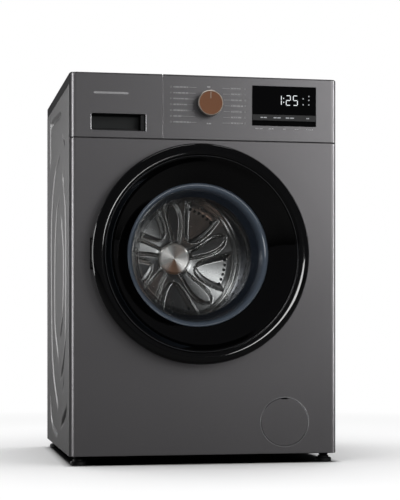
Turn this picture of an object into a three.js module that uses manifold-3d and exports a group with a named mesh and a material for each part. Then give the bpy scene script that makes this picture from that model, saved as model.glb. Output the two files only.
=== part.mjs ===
// Front load washing machine, millimetres, +Z up, front facing -Y.
// The origin is the middle of the footprint, on the floor.
// Inside the machine group y is counted from the face of the front panel, growing backwards.

import * as THREE from 'three';
import { mergeVertices } from 'three/addons/utils/BufferGeometryUtils.js';
import Module from 'manifold-3d';

const wasm = await Module();
wasm.setup();

// Driving dimensions of the cabinet.
const WIDTH = 595;
const HEIGHT = 850;
const DEPTH = 560;
const DOOR_PROUD = 42;
const FOOT_HEIGHT = 20;
const SHEET = 1.2;
const GAP = 0.3;
const CORNER = 14;
const FRONT_RETURN = 16;
const LID = 25;
const SEAM_Z = 709;
const FLANGE = 18;

const HALF = WIDTH / 2;
const FRONT_Y = -(DEPTH - DOOR_PROUD) / 2;
const SIDE_IN = HALF - SHEET;
const SIDE_BACK_Y = DEPTH - 2;
const REAR_Y = 544.8;
const BODY_FRONT_Y = FRONT_RETURN + GAP;
const LID_Z = HEIGHT - LID;

// Fascia: drawer front on the left, control panel on the right.
const FASCIA_WALL = 2.5;
const FASCIA_SPLIT_X = -94.7;
const FASCIA_Z = SEAM_Z + GAP;
const WINDOW = { x0: 104.5, x1: 249.5, z0: 743.5, z1: 831 };
const KEY_COUNT = 5;
const KEY_HEIGHT = 9;
const KNOB = { x: 7, z: 787, radius: 28, proud: 25, stem: 5 };
const GRIP = { x0: -252, x1: -131, z0: 724, z1: 762.5, depth: 30 };

// Detergent drawer behind the fascia.
const HOUSING = { x0: -284, x1: -104, y0: 18, y1: 300, z0: 716, z1: 812, wall: 2.5 };
const TRAY = { x0: -278.5, x1: -109.5, y0: 33.8, y1: 290, z0: 721, z1: 790, wall: 2 };

// Door, turned about the line along y through its middle, a little left of the cabinet's.
const DOOR_X = -14;
const DOOR_Z = 458;
const DOOR_RADIUS = 240;
const DOOR_INNER = 213;
const MOUTH_RADIUS = 176;
const HINGE = { x: DOOR_X - 232, y: -20, pin: 3.5, knuckle: 7.5, half: 29, ear: 8 };
const LATCH = { x: DOOR_X + 193, y: -8, half: 8 };
const NOTCH_HALF = 38;

// Tub, drum and drive.
const DRUM_Z = 468;
const TUB_RADIUS = 255;
const TUB_WALL = 5;
const TUB_FRONT_Y = 70;
const TUB_SPLIT_Y = 200;
const TUB_REAR_Y = 440;
const DRUM_RADIUS = 236;
const DRUM_SHEET = 1.4;
const DRUM_MOUTH = 160;
const DRUM_FRONT_Y = 112;
const DRUM_BACK_Y = 403;
const SHAFT_RADIUS = 15;
const LIFTER_ANGLES = [-8, 112, 232];
const PULLEY = { radius: 145, y0: 463, y1: 483 };
const MOTOR = { x: -60, z: 140, radius: 54.7, pulley: 14, y0: 335, y1: 450 };
const SPRING = { x: 215, y: 330, z0: 632, z1: 795, coil: 14, wire: 2.2, turns: 5 };
const DAMPER = { x: 170, y: 250, tube: 13, bore: 9.6, rod: 9, lugZ: 262 };

// Drain filter behind its round cover, and the feet.
const FILTER = { x: 178, z: 90, cover: 53, cap: 30, plug: 24 };
const FOOT = { x: 275.5, frontY: 35, rearY: 525, disc: 18, discHeight: 9, stem: 10.5 };

// Facets around a full turn.
const BIG_ROUND = 36;
const MID_ROUND = 20;
const SMALL_ROUND = 12;

// ---- shapes ----

// A box between two corners.
function box(x0, x1, y0, y1, z0, z1) {
  const geometry = new THREE.BoxGeometry(x1 - x0, y1 - y0, z1 - z0);
  return geometry.translate((x0 + x1) / 2, (y0 + y1) / 2, (z0 + z1) / 2);
}

// Twice the signed area of a closed outline of [a, b] points.
function signedArea(points) {
  let area = 0;
  points.forEach(([a, b], i) => {
    const [c, d] = points[(i + 1) % points.length];
    area += a * d - c * b;
  });
  return area;
}

// A solid of revolution about a line along y through (x, z), from [radius, y] points.
// A profile that touches the axis starts and ends on it; any other closes on itself.
function turned(points, x, z, segments) {
  const profile = signedArea(points) < 0 ? [...points].reverse() : [...points];
  const solid = profile.every(([radius]) => radius > 0);
  if (solid) {
    profile.push(profile[0]);
  }
  const outline = profile.map(([radius, y]) => new THREE.Vector2(radius, y));
  return new THREE.LatheGeometry(outline, segments).translate(x, 0, z);
}

// A round bar along y.
function barY(radius, y0, y1, x, z, segments) {
  return turned([[0, y0], [radius, y0], [radius, y1], [0, y1]], x, z, segments);
}

// A solid of revolution about a vertical line through (x, y), from [radius, z] points.
function turnedUpright(points, x, y, segments) {
  return turned(points, 0, 0, segments).rotateX(Math.PI / 2).translate(x, y, 0);
}

// An outline in plan, [x, y] points, raised from z0 to z1.
function raised(shape, z0, z1, curveSegments = 6) {
  const options = { depth: z1 - z0, bevelEnabled: false, curveSegments };
  return new THREE.ExtrudeGeometry(shape, options).translate(0, 0, z0);
}

// An outline seen from the front, [x, z] points, spanning y0 to y1.
function pushed(shape, y0, y1, curveSegments = 6) {
  const options = { depth: y1 - y0, bevelEnabled: false, curveSegments };
  return new THREE.ExtrudeGeometry(shape, options).rotateX(Math.PI / 2).translate(0, y1, 0);
}

function outline(points) {
  return new THREE.Shape(points.map(([a, b]) => new THREE.Vector2(a, b)));
}

// ---- joins and cuts ----

function toSolid(geometry) {
  const bare = geometry.clone();
  bare.deleteAttribute('normal');
  bare.deleteAttribute('uv');
  const merged = mergeVertices(bare, 1e-4);
  const vertProperties = new Float32Array(merged.attributes.position.array);
  const triVerts = new Uint32Array(merged.index.array);
  return new wasm.Manifold(new wasm.Mesh({ numProp: 3, vertProperties, triVerts }));
}

function toGeometry(solid) {
  const mesh = solid.getMesh();
  const geometry = new THREE.BufferGeometry();
  geometry.setAttribute('position', new THREE.BufferAttribute(mesh.vertProperties, 3));
  geometry.setIndex(new THREE.BufferAttribute(mesh.triVerts, 1));
  return geometry;
}

// Joins the pieces of adds, then cuts the pieces of cuts away.
function joined(adds, cuts = []) {
  let solid = toSolid(adds[0]);
  adds.slice(1).forEach((piece) => {
    solid = solid.add(toSolid(piece));
  });
  cuts.forEach((piece) => {
    solid = solid.subtract(toSolid(piece));
  });
  return toGeometry(solid);
}

// ---- materials ----

function material(color, roughness, metalness) {
  return new THREE.MeshStandardMaterial({ color, roughness, metalness });
}

const GRAPHITE = material(0x5b5a5e, 0.35, 0.6);
const ZINC = material(0x8d8f91, 0.45, 0.8);
const BLACK_GLOSS = material(0x0c0c0d, 0.08, 0);
const BLACK_PLASTIC = material(0x161617, 0.5, 0);
const GREY_PLASTIC = material(0x8b8d8e, 0.6, 0);
const WHITE_PLASTIC = material(0xdfe0de, 0.45, 0);
const STAINLESS = material(0xb9babc, 0.22, 1);
const CHROME = material(0xd6d7d9, 0.08, 1);
const COPPER = material(0x8a5c40, 0.3, 0.9);
const DOOR_GLASS = material(0x3a4753, 0.03, 0);
const RUBBER = material(0x4c4d4f, 0.8, 0);
const CONCRETE = material(0x9a9892, 0.95, 0);
const BELT_RUBBER = material(0x1c1c1c, 0.7, 0);

// ---- cabinet ----

// Plan outline of a front sheet with rounded vertical corners and short returns.
function frontSheetShape() {
  const inner = CORNER - SHEET;
  const shape = new THREE.Shape();
  shape.moveTo(-HALF, FRONT_RETURN);
  shape.lineTo(-HALF, CORNER);
  shape.absarc(-HALF + CORNER, CORNER, CORNER, Math.PI, Math.PI * 1.5, false);
  shape.absarc(HALF - CORNER, CORNER, CORNER, -Math.PI / 2, 0, false);
  shape.lineTo(HALF, FRONT_RETURN);
  shape.lineTo(SIDE_IN, FRONT_RETURN);
  shape.absarc(HALF - CORNER, CORNER, inner, 0, -Math.PI / 2, true);
  shape.absarc(-HALF + CORNER, CORNER, inner, Math.PI * 1.5, Math.PI, true);
  shape.lineTo(-SIDE_IN, FRONT_RETURN);
  return shape;
}

function frontPanel() {
  const sheet = raised(frontSheetShape(), FOOT_HEIGHT, SEAM_Z - GAP);
  const mouth = barY(MOUTH_RADIUS, -5, 5, DOOR_X, DOOR_Z, BIG_ROUND);
  const filterHole = barY(FILTER.cover + 0.5, -5, 5, FILTER.x, FILTER.z, MID_ROUND);
  const latchSlot = box(LATCH.x - 8, LATCH.x + 11, -5, 5, DOOR_Z - 14, DOOR_Z + 14);
  return joined([sheet], [mouth, filterHole, latchSlot]);
}

// A side sheet with inward flanges at front and back, and a shelf that holds the tub spring.
function sidePanel(side) {
  const flangeIn = HALF - FLANGE;
  const sheet = outline([
    [HALF, BODY_FRONT_Y],
    [HALF, SIDE_BACK_Y],
    [flangeIn, SIDE_BACK_Y],
    [flangeIn, SIDE_BACK_Y - SHEET],
    [SIDE_IN, SIDE_BACK_Y - SHEET],
    [SIDE_IN, BODY_FRONT_Y + SHEET],
    [flangeIn, BODY_FRONT_Y + SHEET],
    [flangeIn, BODY_FRONT_Y],
  ].map(([x, y]) => [x * side, y]));
  const shelfEnds = [side * (SPRING.x - 16), side * (HALF - SHEET / 2)].sort((a, b) => a - b);
  const shelf = box(...shelfEnds, SPRING.y - 16, SPRING.y + 16, SPRING.z1, SPRING.z1 + 3);
  return joined([raised(sheet, FOOT_HEIGHT, LID_Z - GAP), shelf]);
}

function topCover() {
  const wall = 4;
  const slab = box(-HALF, HALF, BODY_FRONT_Y, DEPTH, LID_Z, HEIGHT);
  const hollow = box(
    -HALF + wall, HALF - wall, BODY_FRONT_Y + wall, DEPTH - wall, LID_Z - wall, HEIGHT - wall,
  );
  return joined([slab], [hollow]);
}

const SERVICE = { x: 180, z0: 230, z1: 700, rim: 15 };

function rearPanel() {
  const edge = SIDE_IN - GAP;
  const sheet = box(-edge, edge, REAR_Y, REAR_Y + SHEET, FOOT_HEIGHT + 2, LID_Z - GAP);
  const service = box(-SERVICE.x, SERVICE.x, REAR_Y - 5, REAR_Y + 5, SERVICE.z0, SERVICE.z1);
  const valveHole = barY(INLET.spigot + 1, REAR_Y - 5, REAR_Y + 5, INLET.x, INLET.z, SMALL_ROUND);
  const cordHole = barY(GLAND.neck + 1, REAR_Y - 5, REAR_Y + 5, GLAND.x, GLAND.z, SMALL_ROUND);
  return joined([sheet], [service, valveHole, cordHole]);
}

// A pressed cover: a flat rim around a raised pan.
function rearServiceCover() {
  const y0 = REAR_Y + SHEET + GAP;
  const { x, z0, z1, rim } = SERVICE;
  const plate = box(-x - rim, x + rim, y0, y0 + SHEET, z0 - rim, z1 + rim);
  const pan = box(-x + 5, x - 5, y0, DEPTH, z0 + 5, z1 - 5);
  const hollow = box(
    -x + 5 + SHEET, x - 5 - SHEET, y0 - 5, DEPTH - SHEET, z0 + 5 + SHEET, z1 - 5 - SHEET,
  );
  return joined([plate, pan], [hollow]);
}

function baseTray() {
  const edge = SIDE_IN - GAP;
  const wall = 1.5;
  const y0 = BODY_FRONT_Y + SHEET + GAP;
  const y1 = REAR_Y - GAP;
  const tray = box(-edge, edge, y0, y1, FOOT_HEIGHT, FOOT_HEIGHT + 30);
  const hollow = box(
    -edge + wall, edge - wall, y0 + wall, y1 - wall, FOOT_HEIGHT + 2, FOOT_HEIGHT + 40,
  );
  const holes = FEET.map(({ x, y }) => turnedUpright(
    [[0, 0], [FOOT.stem + 0.7, 0], [FOOT.stem + 0.7, 40], [0, 40]], x, y, SMALL_ROUND,
  ));
  return joined([tray], [hollow, ...holes]);
}

// A channel across the front, under the fascia.
function frontRail() {
  const edge = SIDE_IN - 3;
  const y0 = BODY_FRONT_Y + SHEET + GAP;
  const section = outline([[y0, 700], [y0 + 28, 700], [y0 + 28, 712], [y0 + 26.5, 712],
    [y0 + 26.5, 701.5], [y0 + 1.5, 701.5], [y0 + 1.5, 712], [y0, 712]]);
  const bar = new THREE.ExtrudeGeometry(section, { depth: 2 * edge, bevelEnabled: false });
  bar.applyMatrix4(new THREE.Matrix4().set(0, 0, 1, -edge, 1, 0, 0, 0, 0, 1, 0, 0, 0, 0, 0, 1));
  return joined([bar]);
}

const INLET = { x: 225, z: 790, spigot: 10 };

function waterInletValve() {
  const { x, z, spigot } = INLET;
  const body = box(x - 22, x + 22, 500, REAR_Y - 4, z - 22, z + 18);
  const coil = box(x - 16, x + 16, 470, 501, z - 14, z + 14);
  return joined([body, coil, barY(spigot, REAR_Y - 6, DEPTH, x, z, SMALL_ROUND)]);
}

const GLAND = { x: 240, z: 120, neck: 8, flange: 12 };

// The strain relief that the mains lead leaves by.
function cordGland() {
  const { x, z, neck, flange } = GLAND;
  const face = REAR_Y + SHEET + GAP;
  const profile = [[0, REAR_Y - 8], [neck, REAR_Y - 8], [neck, face], [flange, face],
    [flange, face + 3], [neck, face + 4], [5, DEPTH], [0, DEPTH]];
  return turned(profile, x, z, SMALL_ROUND);
}

// ---- fascia ----

// A fascia shell between x0 and x1 with a rounded corner where it meets a cabinet side.
function fasciaShell(x0, x1, inset) {
  const wraps = (x) => Math.abs(x) === HALF;
  const radius = CORNER - inset;
  const left = x0 + inset;
  const right = x1 - inset;
  const front = inset;
  const back = FRONT_RETURN + (inset ? 5 : 0);
  const shape = new THREE.Shape();
  shape.moveTo(left, back);
  if (wraps(x0)) {
    shape.absarc(left + radius, front + radius, radius, Math.PI, Math.PI * 1.5, false);
  } else {
    shape.lineTo(left, front);
  }
  if (wraps(x1)) {
    shape.absarc(right - radius, front + radius, radius, -Math.PI / 2, 0, false);
  } else {
    shape.lineTo(right, front);
  }
  shape.lineTo(right, back);
  return raised(shape, FASCIA_Z + inset, HEIGHT - inset);
}

function controlPanel() {
  const x0 = FASCIA_SPLIT_X + GAP;
  const opening = box(WINDOW.x0 - GAP, WINDOW.x1 + GAP, -5, 5, WINDOW.z0 - GAP, WINDOW.z1 + GAP);
  const shaftHole = barY(KNOB.stem + 1, -5, 5, KNOB.x, KNOB.z, SMALL_ROUND);
  return joined([fasciaShell(x0, HALF, 0)], [fasciaShell(x0, HALF, FASCIA_WALL), opening, shaftHole]);
}

function displayWindow() {
  return box(WINDOW.x0, WINDOW.x1, -0.5, 12, WINDOW.z0 + KEY_HEIGHT + GAP, WINDOW.z1);
}

function panelKey(index) {
  const pitch = (WINDOW.x1 - WINDOW.x0 + GAP) / KEY_COUNT;
  const x0 = WINDOW.x0 + index * pitch;
  return box(x0, x0 + pitch - GAP, -0.8, 8, WINDOW.z0, WINDOW.z0 + KEY_HEIGHT);
}

function programKnob() {
  const { x, z, radius, proud, stem } = KNOB;
  const face = -proud + 3;
  const profile = [[0, 14], [stem, 14], [stem, -0.8], [radius, -0.8], [radius, face + 2.5],
    [radius - 2, face], [0, face]];
  return turned(profile, x, z, MID_ROUND);
}

function knobFace() {
  const { x, z, radius, proud } = KNOB;
  const back = -proud + 3 - GAP;
  const profile = [[0, back], [radius - 2.5, back], [radius - 4, -proud], [0, -proud]];
  return turned(profile, x, z, MID_ROUND);
}

// The drawer's own fascia, with a pocket to pull it by.
function drawerFront() {
  const x1 = FASCIA_SPLIT_X - GAP;
  const wall = FASCIA_WALL;
  const shell = joined([fasciaShell(-HALF, x1, 0)], [fasciaShell(-HALF, x1, wall)]);
  const pocket = box(
    GRIP.x0 - wall, GRIP.x1 + wall, wall / 2, GRIP.depth + wall, GRIP.z0 - wall, GRIP.z1 + wall,
  );
  const hollow = box(GRIP.x0, GRIP.x1, -5, GRIP.depth, GRIP.z0, GRIP.z1);
  return joined([shell, pocket], [hollow]);
}

// Compartments for the main wash, the pre-wash and the softener.
function drawerTray() {
  const { x0, x1, y0, y1, z0, z1, wall } = TRAY;
  const walls = [x0, -201, -156, x1 - wall];
  const hollows = walls.slice(0, -1).map((x, i) => box(
    x + wall, walls[i + 1], y0 + wall, y1 - wall, z0 + wall, z1 + 5,
  ));
  return joined([box(x0, x1, y0, y1, z0, z1)], hollows);
}

function dispenserHousing() {
  const { x0, x1, y0, y1, z0, z1, wall } = HOUSING;
  const hollow = box(x0 + wall, x1 - wall, y0 - 5, y1 - wall, z0 + wall, z1 - wall);
  return joined([box(x0, x1, y0, y1, z0, z1)], [hollow]);
}

// ---- door ----

// The finger scoop behind the right-hand edge of the door ring.
function gripScoop() {
  return box(DOOR_X + 217, DOOR_X + DOOR_RADIUS + 5, -25, 0, DOOR_Z - 48, DOOR_Z + 48);
}

function hingeNotch(y0) {
  return box(
    DOOR_X - DOOR_RADIUS - 5, DOOR_X - 214, y0, 0, DOOR_Z - NOTCH_HALF, DOOR_Z + NOTCH_HALF,
  );
}

// A C-section ring, open at the back.
function doorOuterRing() {
  const profile = [[240, -4], [240, -32], [234, -41.2], [226, -DOOR_PROUD], [217, -41.6],
    [213, -36], [213, -30], [216, -30], [218, -38.4], [232.5, -38], [237, -31], [237, -4]];
  const ring = turned(profile, DOOR_X, DOOR_Z, BIG_ROUND);
  return joined([ring], [hingeNotch(-33), gripScoop()]);
}

function doorTrimRing() {
  const inner = DOOR_INNER - 1.7;
  const outer = DOOR_INNER - GAP;
  return turned([[inner, -40], [outer, -40], [outer, -34], [inner, -34]], DOOR_X, DOOR_Z, BIG_ROUND);
}

// The black funnel between the ring and the glass.
function doorDish() {
  const profile = [[211, -37], [196, -22], [176, -6], [157.5, 10], [157.5, 13], [168.5, 3.6],
    [187.5, -9.5], [211, -31]];
  return turned(profile, DOOR_X, DOOR_Z, BIG_ROUND);
}

// A thick moulded bowl with a flat rim.
function doorGlass() {
  const profile = [[0, 118], [94, 116], [121.5, 101.5], [142, 39], [150, 13.5], [167, 13.5],
    [167, 18.5], [156, 18.5], [147, 40], [126, 104], [95, 121], [0, 123]];
  return turned(profile, DOOR_X, DOOR_Z, BIG_ROUND);
}

// The flat ring that closes the back of the door.
function doorInnerFrame() {
  const profile = [[188, -6], [236.5, -6], [236.5, -3.2], [188, -3.2]];
  const ring = turned(profile, DOOR_X, DOOR_Z, BIG_ROUND);
  const latchSlot = box(LATCH.x - 9, LATCH.x + 11, -8, 0, DOOR_Z - 12, DOOR_Z + 12);
  return joined([ring], [hingeNotch(-8), gripScoop(), latchSlot]);
}

function hingeCylinder(radius, half) {
  const profile = [[0, DOOR_Z - half], [radius, DOOR_Z - half], [radius, DOOR_Z + half],
    [0, DOOR_Z + half]];
  return turnedUpright(profile, HINGE.x, HINGE.y, SMALL_ROUND);
}

// A plate on the front panel with two ears and the fixed pin between them.
function hingeBracket() {
  const { x, y, pin, half, ear } = HINGE;
  const plate = box(x - 8, x + 16, -2.6, -GAP, DOOR_Z - 34, DOOR_Z + 34);
  const ears = [-half, half - ear].map((z) => box(
    x - 6, x + 6, y - 6, -1, DOOR_Z + z, DOOR_Z + z + ear,
  ));
  return joined([plate, ...ears, hingeCylinder(pin, half)]);
}

// The moving leaf: a knuckle on the pin, an arm and a foot on the inner frame.
function doorHingeLeaf() {
  const { x, y, pin, knuckle } = HINGE;
  const half = 19;
  const arm = box(x + 2, x + 26, y - 2, -8, DOOR_Z - half, DOOR_Z + half);
  const foot = box(DOOR_X - 212, DOOR_X - 190, -9.5, -6 - GAP, DOOR_Z - 26, DOOR_Z + 26);
  return joined([hingeCylinder(knuckle, half), arm, foot], [hingeCylinder(pin + 0.3, half + 5)]);
}

function doorLatchHook() {
  const { x, y, half } = LATCH;
  const hook = outline([[x - 3, y - 3], [x + 3, y - 3], [x + 3, y + 3], [x + 2, y + 5],
    [x + 2, 17], [x + 7, 17], [x + 2, 23], [x - 2, 23], [x - 2, y + 5], [x - 3, y + 3]]);
  return raised(hook, DOOR_Z - half, DOOR_Z + half);
}

function doorLock() {
  const body = box(LATCH.x - 11, LATCH.x + 27, 3, 46, DOOR_Z - 34, DOOR_Z + 34);
  const recess = box(LATCH.x - 8, LATCH.x + 12, 0, 30, DOOR_Z - 16, DOOR_Z + 16);
  return joined([body], [recess]);
}

// ---- tub ----

function doorGasket() {
  const profile = [[173.5, 1.6], [172, 20], [160, 22], [160, 27], [175, 33], [169, 50], [169, 60],
    [182, 60], [182, 57], [172.5, 57], [172.5, 50], [178.5, 31], [165, 25], [175.5, 22.5],
    [179, 1.6]];
  return turned(profile, DOOR_X, DOOR_Z, BIG_ROUND);
}

function tubFront() {
  const inner = TUB_RADIUS - TUB_WALL;
  const y1 = TUB_SPLIT_Y - GAP;
  const profile = [[176, 62], [181, 62], [181, TUB_FRONT_Y], [TUB_RADIUS, TUB_FRONT_Y],
    [TUB_RADIUS, y1], [inner, y1], [inner, TUB_FRONT_Y + TUB_WALL],
    [176, TUB_FRONT_Y + TUB_WALL]];
  return turned(profile, 0, DRUM_Z, BIG_ROUND);
}

// The rear half of the tub with its bearing boss and the lugs of the springs, dampers and motor.
function tubRear() {
  const inner = TUB_RADIUS - TUB_WALL;
  const bore = SHAFT_RADIUS + 1.6;
  const wall = TUB_REAR_Y - 6;
  const shell = turned([[TUB_RADIUS, TUB_SPLIT_Y], [TUB_RADIUS, TUB_REAR_Y], [40, TUB_REAR_Y],
    [40, 458], [bore, 458], [bore, 428], [40, 428], [40, wall], [inner, wall],
    [inner, TUB_SPLIT_Y]], 0, DRUM_Z, BIG_ROUND);
  const lugs = [box(MOTOR.x - 15, MOTOR.x + 15, 345, 430, MOTOR.z + MOTOR.radius + 0.8, 250)];
  [-1, 1].forEach((side) => {
    const springX = side * SPRING.x;
    const damperX = side * DAMPER.x;
    lugs.push(box(springX - 10, springX + 10, SPRING.y - 10, SPRING.y + 10, 575, SPRING.z0));
    lugs.push(box(damperX - 8, damperX + 8, DAMPER.y - 8, DAMPER.y + 8, DAMPER.lugZ, 310));
  });
  const hollow = barY(inner + 1, TUB_SPLIT_Y - 5, wall, 0, DRUM_Z, BIG_ROUND);
  return joined([shell, joined([joined(lugs)], [hollow])]);
}

function upperCounterweight() {
  const block = box(-90, 150, 110, 390, 690, 785);
  return joined([block], [barY(TUB_RADIUS + 1, 100, 400, 0, DRUM_Z, BIG_ROUND)]);
}

function motorHousing() {
  const { x, z, radius, y0, y1 } = MOTOR;
  const can = barY(radius, y0, y1, x, z, MID_ROUND);
  return joined([can, barY(radius - 18, y0 - 6, y0 + 2, x, z, MID_ROUND)]);
}

// Outline of a belt run around the two pulleys, its bends having the given radii.
function beltOutline(shape, large, small) {
  const across = MOTOR.x;
  const down = MOTOR.z - DRUM_Z;
  const toMotor = Math.atan2(down, across);
  const spread = Math.acos((large - small) / Math.hypot(across, down));
  shape.absarc(0, DRUM_Z, large, toMotor + spread, toMotor - spread + 2 * Math.PI, false);
  shape.absarc(MOTOR.x, MOTOR.z, small, toMotor - spread, toMotor + spread, false);
  return shape;
}

function driveBelt() {
  const thickness = 3;
  const slack = 1.2;
  const large = PULLEY.radius + slack;
  const small = MOTOR.pulley + slack;
  const loop = beltOutline(new THREE.Shape(), large + thickness, small + thickness);
  loop.holes.push(beltOutline(new THREE.Path(), large, small));
  return joined([pushed(loop, PULLEY.y0 + 2, PULLEY.y1 - 2, 16)]);
}

// ---- drum ----

function drumShell() {
  const inner = DRUM_RADIUS - DRUM_SHEET;
  const y0 = DRUM_FRONT_Y + GAP;
  return turned([[inner, y0], [DRUM_RADIUS, y0], [DRUM_RADIUS, DRUM_BACK_Y],
    [inner, DRUM_BACK_Y]], 0, DRUM_Z, BIG_ROUND);
}

// The annular front with a rolled lip around the loading mouth.
function drumFront() {
  const inner = DRUM_RADIUS - DRUM_SHEET;
  const profile = [[DRUM_MOUTH, 98], [DRUM_MOUTH + 2, 91.5], [169, 92], [173, 96],
    [DRUM_RADIUS, 100], [DRUM_RADIUS, DRUM_FRONT_Y], [inner, DRUM_FRONT_Y], [inner, 102],
    [170, 98.5], [166, 96]];
  return turned(profile, 0, DRUM_Z, BIG_ROUND);
}

function drumBack() {
  const y0 = DRUM_BACK_Y + GAP;
  const profile = [[DRUM_RADIUS, y0], [DRUM_RADIUS, 409], [230, 413], [0, 413], [0, 409.5],
    [228, 409.5], [DRUM_RADIUS - DRUM_SHEET, y0]];
  const onAxis = profile.findIndex(([radius]) => radius === 0) + 1;
  const fromAxis = [...profile.slice(onAxis), ...profile.slice(0, onAxis)];
  return turned(fromAxis, 0, DRUM_Z, BIG_ROUND);
}

function drumLifter(angle) {
  const base = 232;
  const top = 192;
  const section = outline([[-22, base], [-9, top + 6], [-5, top + 1], [0, top], [5, top + 1],
    [9, top + 6], [22, base]]);
  const lifter = pushed(section, 130, 385);
  lifter.rotateY(-THREE.MathUtils.degToRad(angle - 90));
  return lifter.translate(0, 0, DRUM_Z);
}

// Three arms behind the drum and the shaft they carry.
function drumSpider() {
  const arm = box(20, 215, 413.6, 425, -14, 14);
  const arms = [30, 150, 270].map((angle) => arm.clone()
    .rotateY(-THREE.MathUtils.degToRad(angle)).translate(0, 0, DRUM_Z));
  const hub = barY(37, 413.6, 427, 0, DRUM_Z, MID_ROUND);
  return joined([hub, ...arms, barY(SHAFT_RADIUS, 420, 492, 0, DRUM_Z, MID_ROUND)]);
}

function hubCap() {
  const profile = [[0, 398], [36.5, 399.5], [38.5, 401.5], [38.5, 409.2], [0, 409.2]];
  return turned(profile, 0, DRUM_Z, MID_ROUND);
}

function drumPulley() {
  const { radius, y0, y1 } = PULLEY;
  const bore = SHAFT_RADIUS + GAP;
  const profile = [[bore, y0 - 1], [26, y0 - 1], [26, y0 + 7], [radius - 7, y0 + 7],
    [radius - 7, y0], [radius, y0], [radius, y1], [radius - 7, y1], [radius - 7, y0 + 11],
    [26, y0 + 11], [26, y1 + 3], [bore, y1 + 3]];
  return turned(profile, 0, DRUM_Z, MID_ROUND);
}

function motorPulley() {
  const { x, z, pulley, y1 } = MOTOR;
  const profile = [[0, y1 + GAP], [6, y1 + GAP], [6, PULLEY.y0], [pulley, PULLEY.y0],
    [pulley, PULLEY.y1], [0, PULLEY.y1]];
  return turned(profile, x, z, SMALL_ROUND);
}

// ---- suspension ----

class Helix extends THREE.Curve {
  constructor(x, y, z0, z1, radius, turns) {
    super();
    Object.assign(this, { x, y, z0, z1, radius, turns });
  }

  getPoint(t) {
    const turn = 2 * Math.PI * this.turns * t;
    return new THREE.Vector3(
      this.x + this.radius * Math.cos(turn),
      this.y + this.radius * Math.sin(turn),
      this.z0 + (this.z1 - this.z0) * t,
    );
  }
}

function suspensionSpring(side) {
  const { x, y, z0, z1, coil, wire, turns } = SPRING;
  const clear = wire + GAP * 2;
  const path = new Helix(side * x, y, z0 + clear, z1 - clear, coil, turns);
  const section = new THREE.Shape();
  section.absarc(0, 0, wire, 0, 2 * Math.PI, false);
  return new THREE.ExtrudeGeometry(section, {
    steps: turns * 8, extrudePath: path, bevelEnabled: false, curveSegments: 3,
  });
}

function damperTube(side) {
  const { x, y, tube, bore } = DAMPER;
  const floor = FOOT_HEIGHT + 2 + GAP;
  const profile = [[0, floor], [tube, floor], [tube, 150], [bore, 150], [bore, 30], [0, 30]];
  return turnedUpright(profile, side * x, y, SMALL_ROUND);
}

function damperRod(side) {
  const { x, y, rod, lugZ } = DAMPER;
  const top = lugZ - GAP;
  return turnedUpright([[0, 60], [rod, 60], [rod, top], [0, top]], side * x, y, SMALL_ROUND);
}

// ---- drain filter and feet ----

// A round flap hinged at its lower edge, with a small finger notch at the top.
function filterCover() {
  const { x, z, cover } = FILTER;
  const disc = barY(cover, -0.8, SHEET, x, z, MID_ROUND);
  return joined([disc], [box(x - 9.5, x + 9.5, -5, 5, z + cover - 4, z + cover + 5)]);
}

function drainFilter() {
  const { x, z, cap, plug } = FILTER;
  const profile = [[0, 16], [cap, 16], [cap, 26], [plug, 26], [plug, 92], [0, 92]];
  const bar = box(x - 20, x + 20, 8, 18, z - 4, z + 4);
  return joined([turned(profile, x, z, MID_ROUND), bar]);
}

function drainPumpBody() {
  const { x, z, plug } = FILTER;
  const chamber = barY(34, 30, 150, x, z, MID_ROUND);
  const foot = box(x - 26, x + 26, 60, 140, FOOT_HEIGHT + 2 + GAP, z - 20);
  const bore = barY(plug + 0.8, 20, 96, x, z, MID_ROUND);
  return joined([chamber, foot, barY(22, 149, 190, x, z, MID_ROUND)], [bore]);
}

const FEET = [
  { name: 'foot_front_left', x: -FOOT.x, y: FOOT.frontY },
  { name: 'foot_front_right', x: FOOT.x, y: FOOT.frontY },
  { name: 'foot_rear_left', x: -FOOT.x, y: FOOT.rearY },
  { name: 'foot_rear_right', x: FOOT.x, y: FOOT.rearY },
];

function foot(x, y) {
  const { disc, discHeight, stem } = FOOT;
  const profile = [[0, 0], [disc, 0], [disc, discHeight - 2], [disc - 2, discHeight],
    [stem, discHeight], [stem, 46], [0, 46]];
  return turnedUpright(profile, x, y, SMALL_ROUND);
}

// ---- assembly ----

const machine = new THREE.Group();
machine.position.y = FRONT_Y;

function place(name, geometry, finish) {
  const mesh = new THREE.Mesh(geometry, finish.clone());
  mesh.name = name;
  machine.add(mesh);
}

function placeCabinet() {
  place('base_tray', baseTray(), ZINC);
  place('left_side_panel', sidePanel(-1), GRAPHITE);
  place('right_side_panel', sidePanel(1), GRAPHITE);
  place('rear_panel', rearPanel(), ZINC);
  place('rear_service_cover', rearServiceCover(), ZINC);
  place('top_cover', topCover(), GRAPHITE);
  place('front_panel', frontPanel(), GRAPHITE);
  place('front_rail', frontRail(), ZINC);
  place('water_inlet_valve', waterInletValve(), WHITE_PLASTIC);
  place('cord_gland', cordGland(), BLACK_PLASTIC);
  place('door_lock', doorLock(), BLACK_PLASTIC);
  place('hinge_bracket', hingeBracket(), BLACK_PLASTIC);
  place('door_gasket', doorGasket(), RUBBER);
}

function placeFascia() {
  place('control_panel', controlPanel(), GRAPHITE);
  place('display_window', displayWindow(), BLACK_GLOSS);
  place('program_knob', programKnob(), BLACK_GLOSS);
  place('knob_face', knobFace(), COPPER);
  for (let i = 0; i < KEY_COUNT; i += 1) {
    place(`panel_key_${i + 1}`, panelKey(i), BLACK_GLOSS);
  }
  place('drawer_front', drawerFront(), GRAPHITE);
  place('drawer_tray', drawerTray(), WHITE_PLASTIC);
  place('dispenser_housing', dispenserHousing(), GREY_PLASTIC);
}

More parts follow.
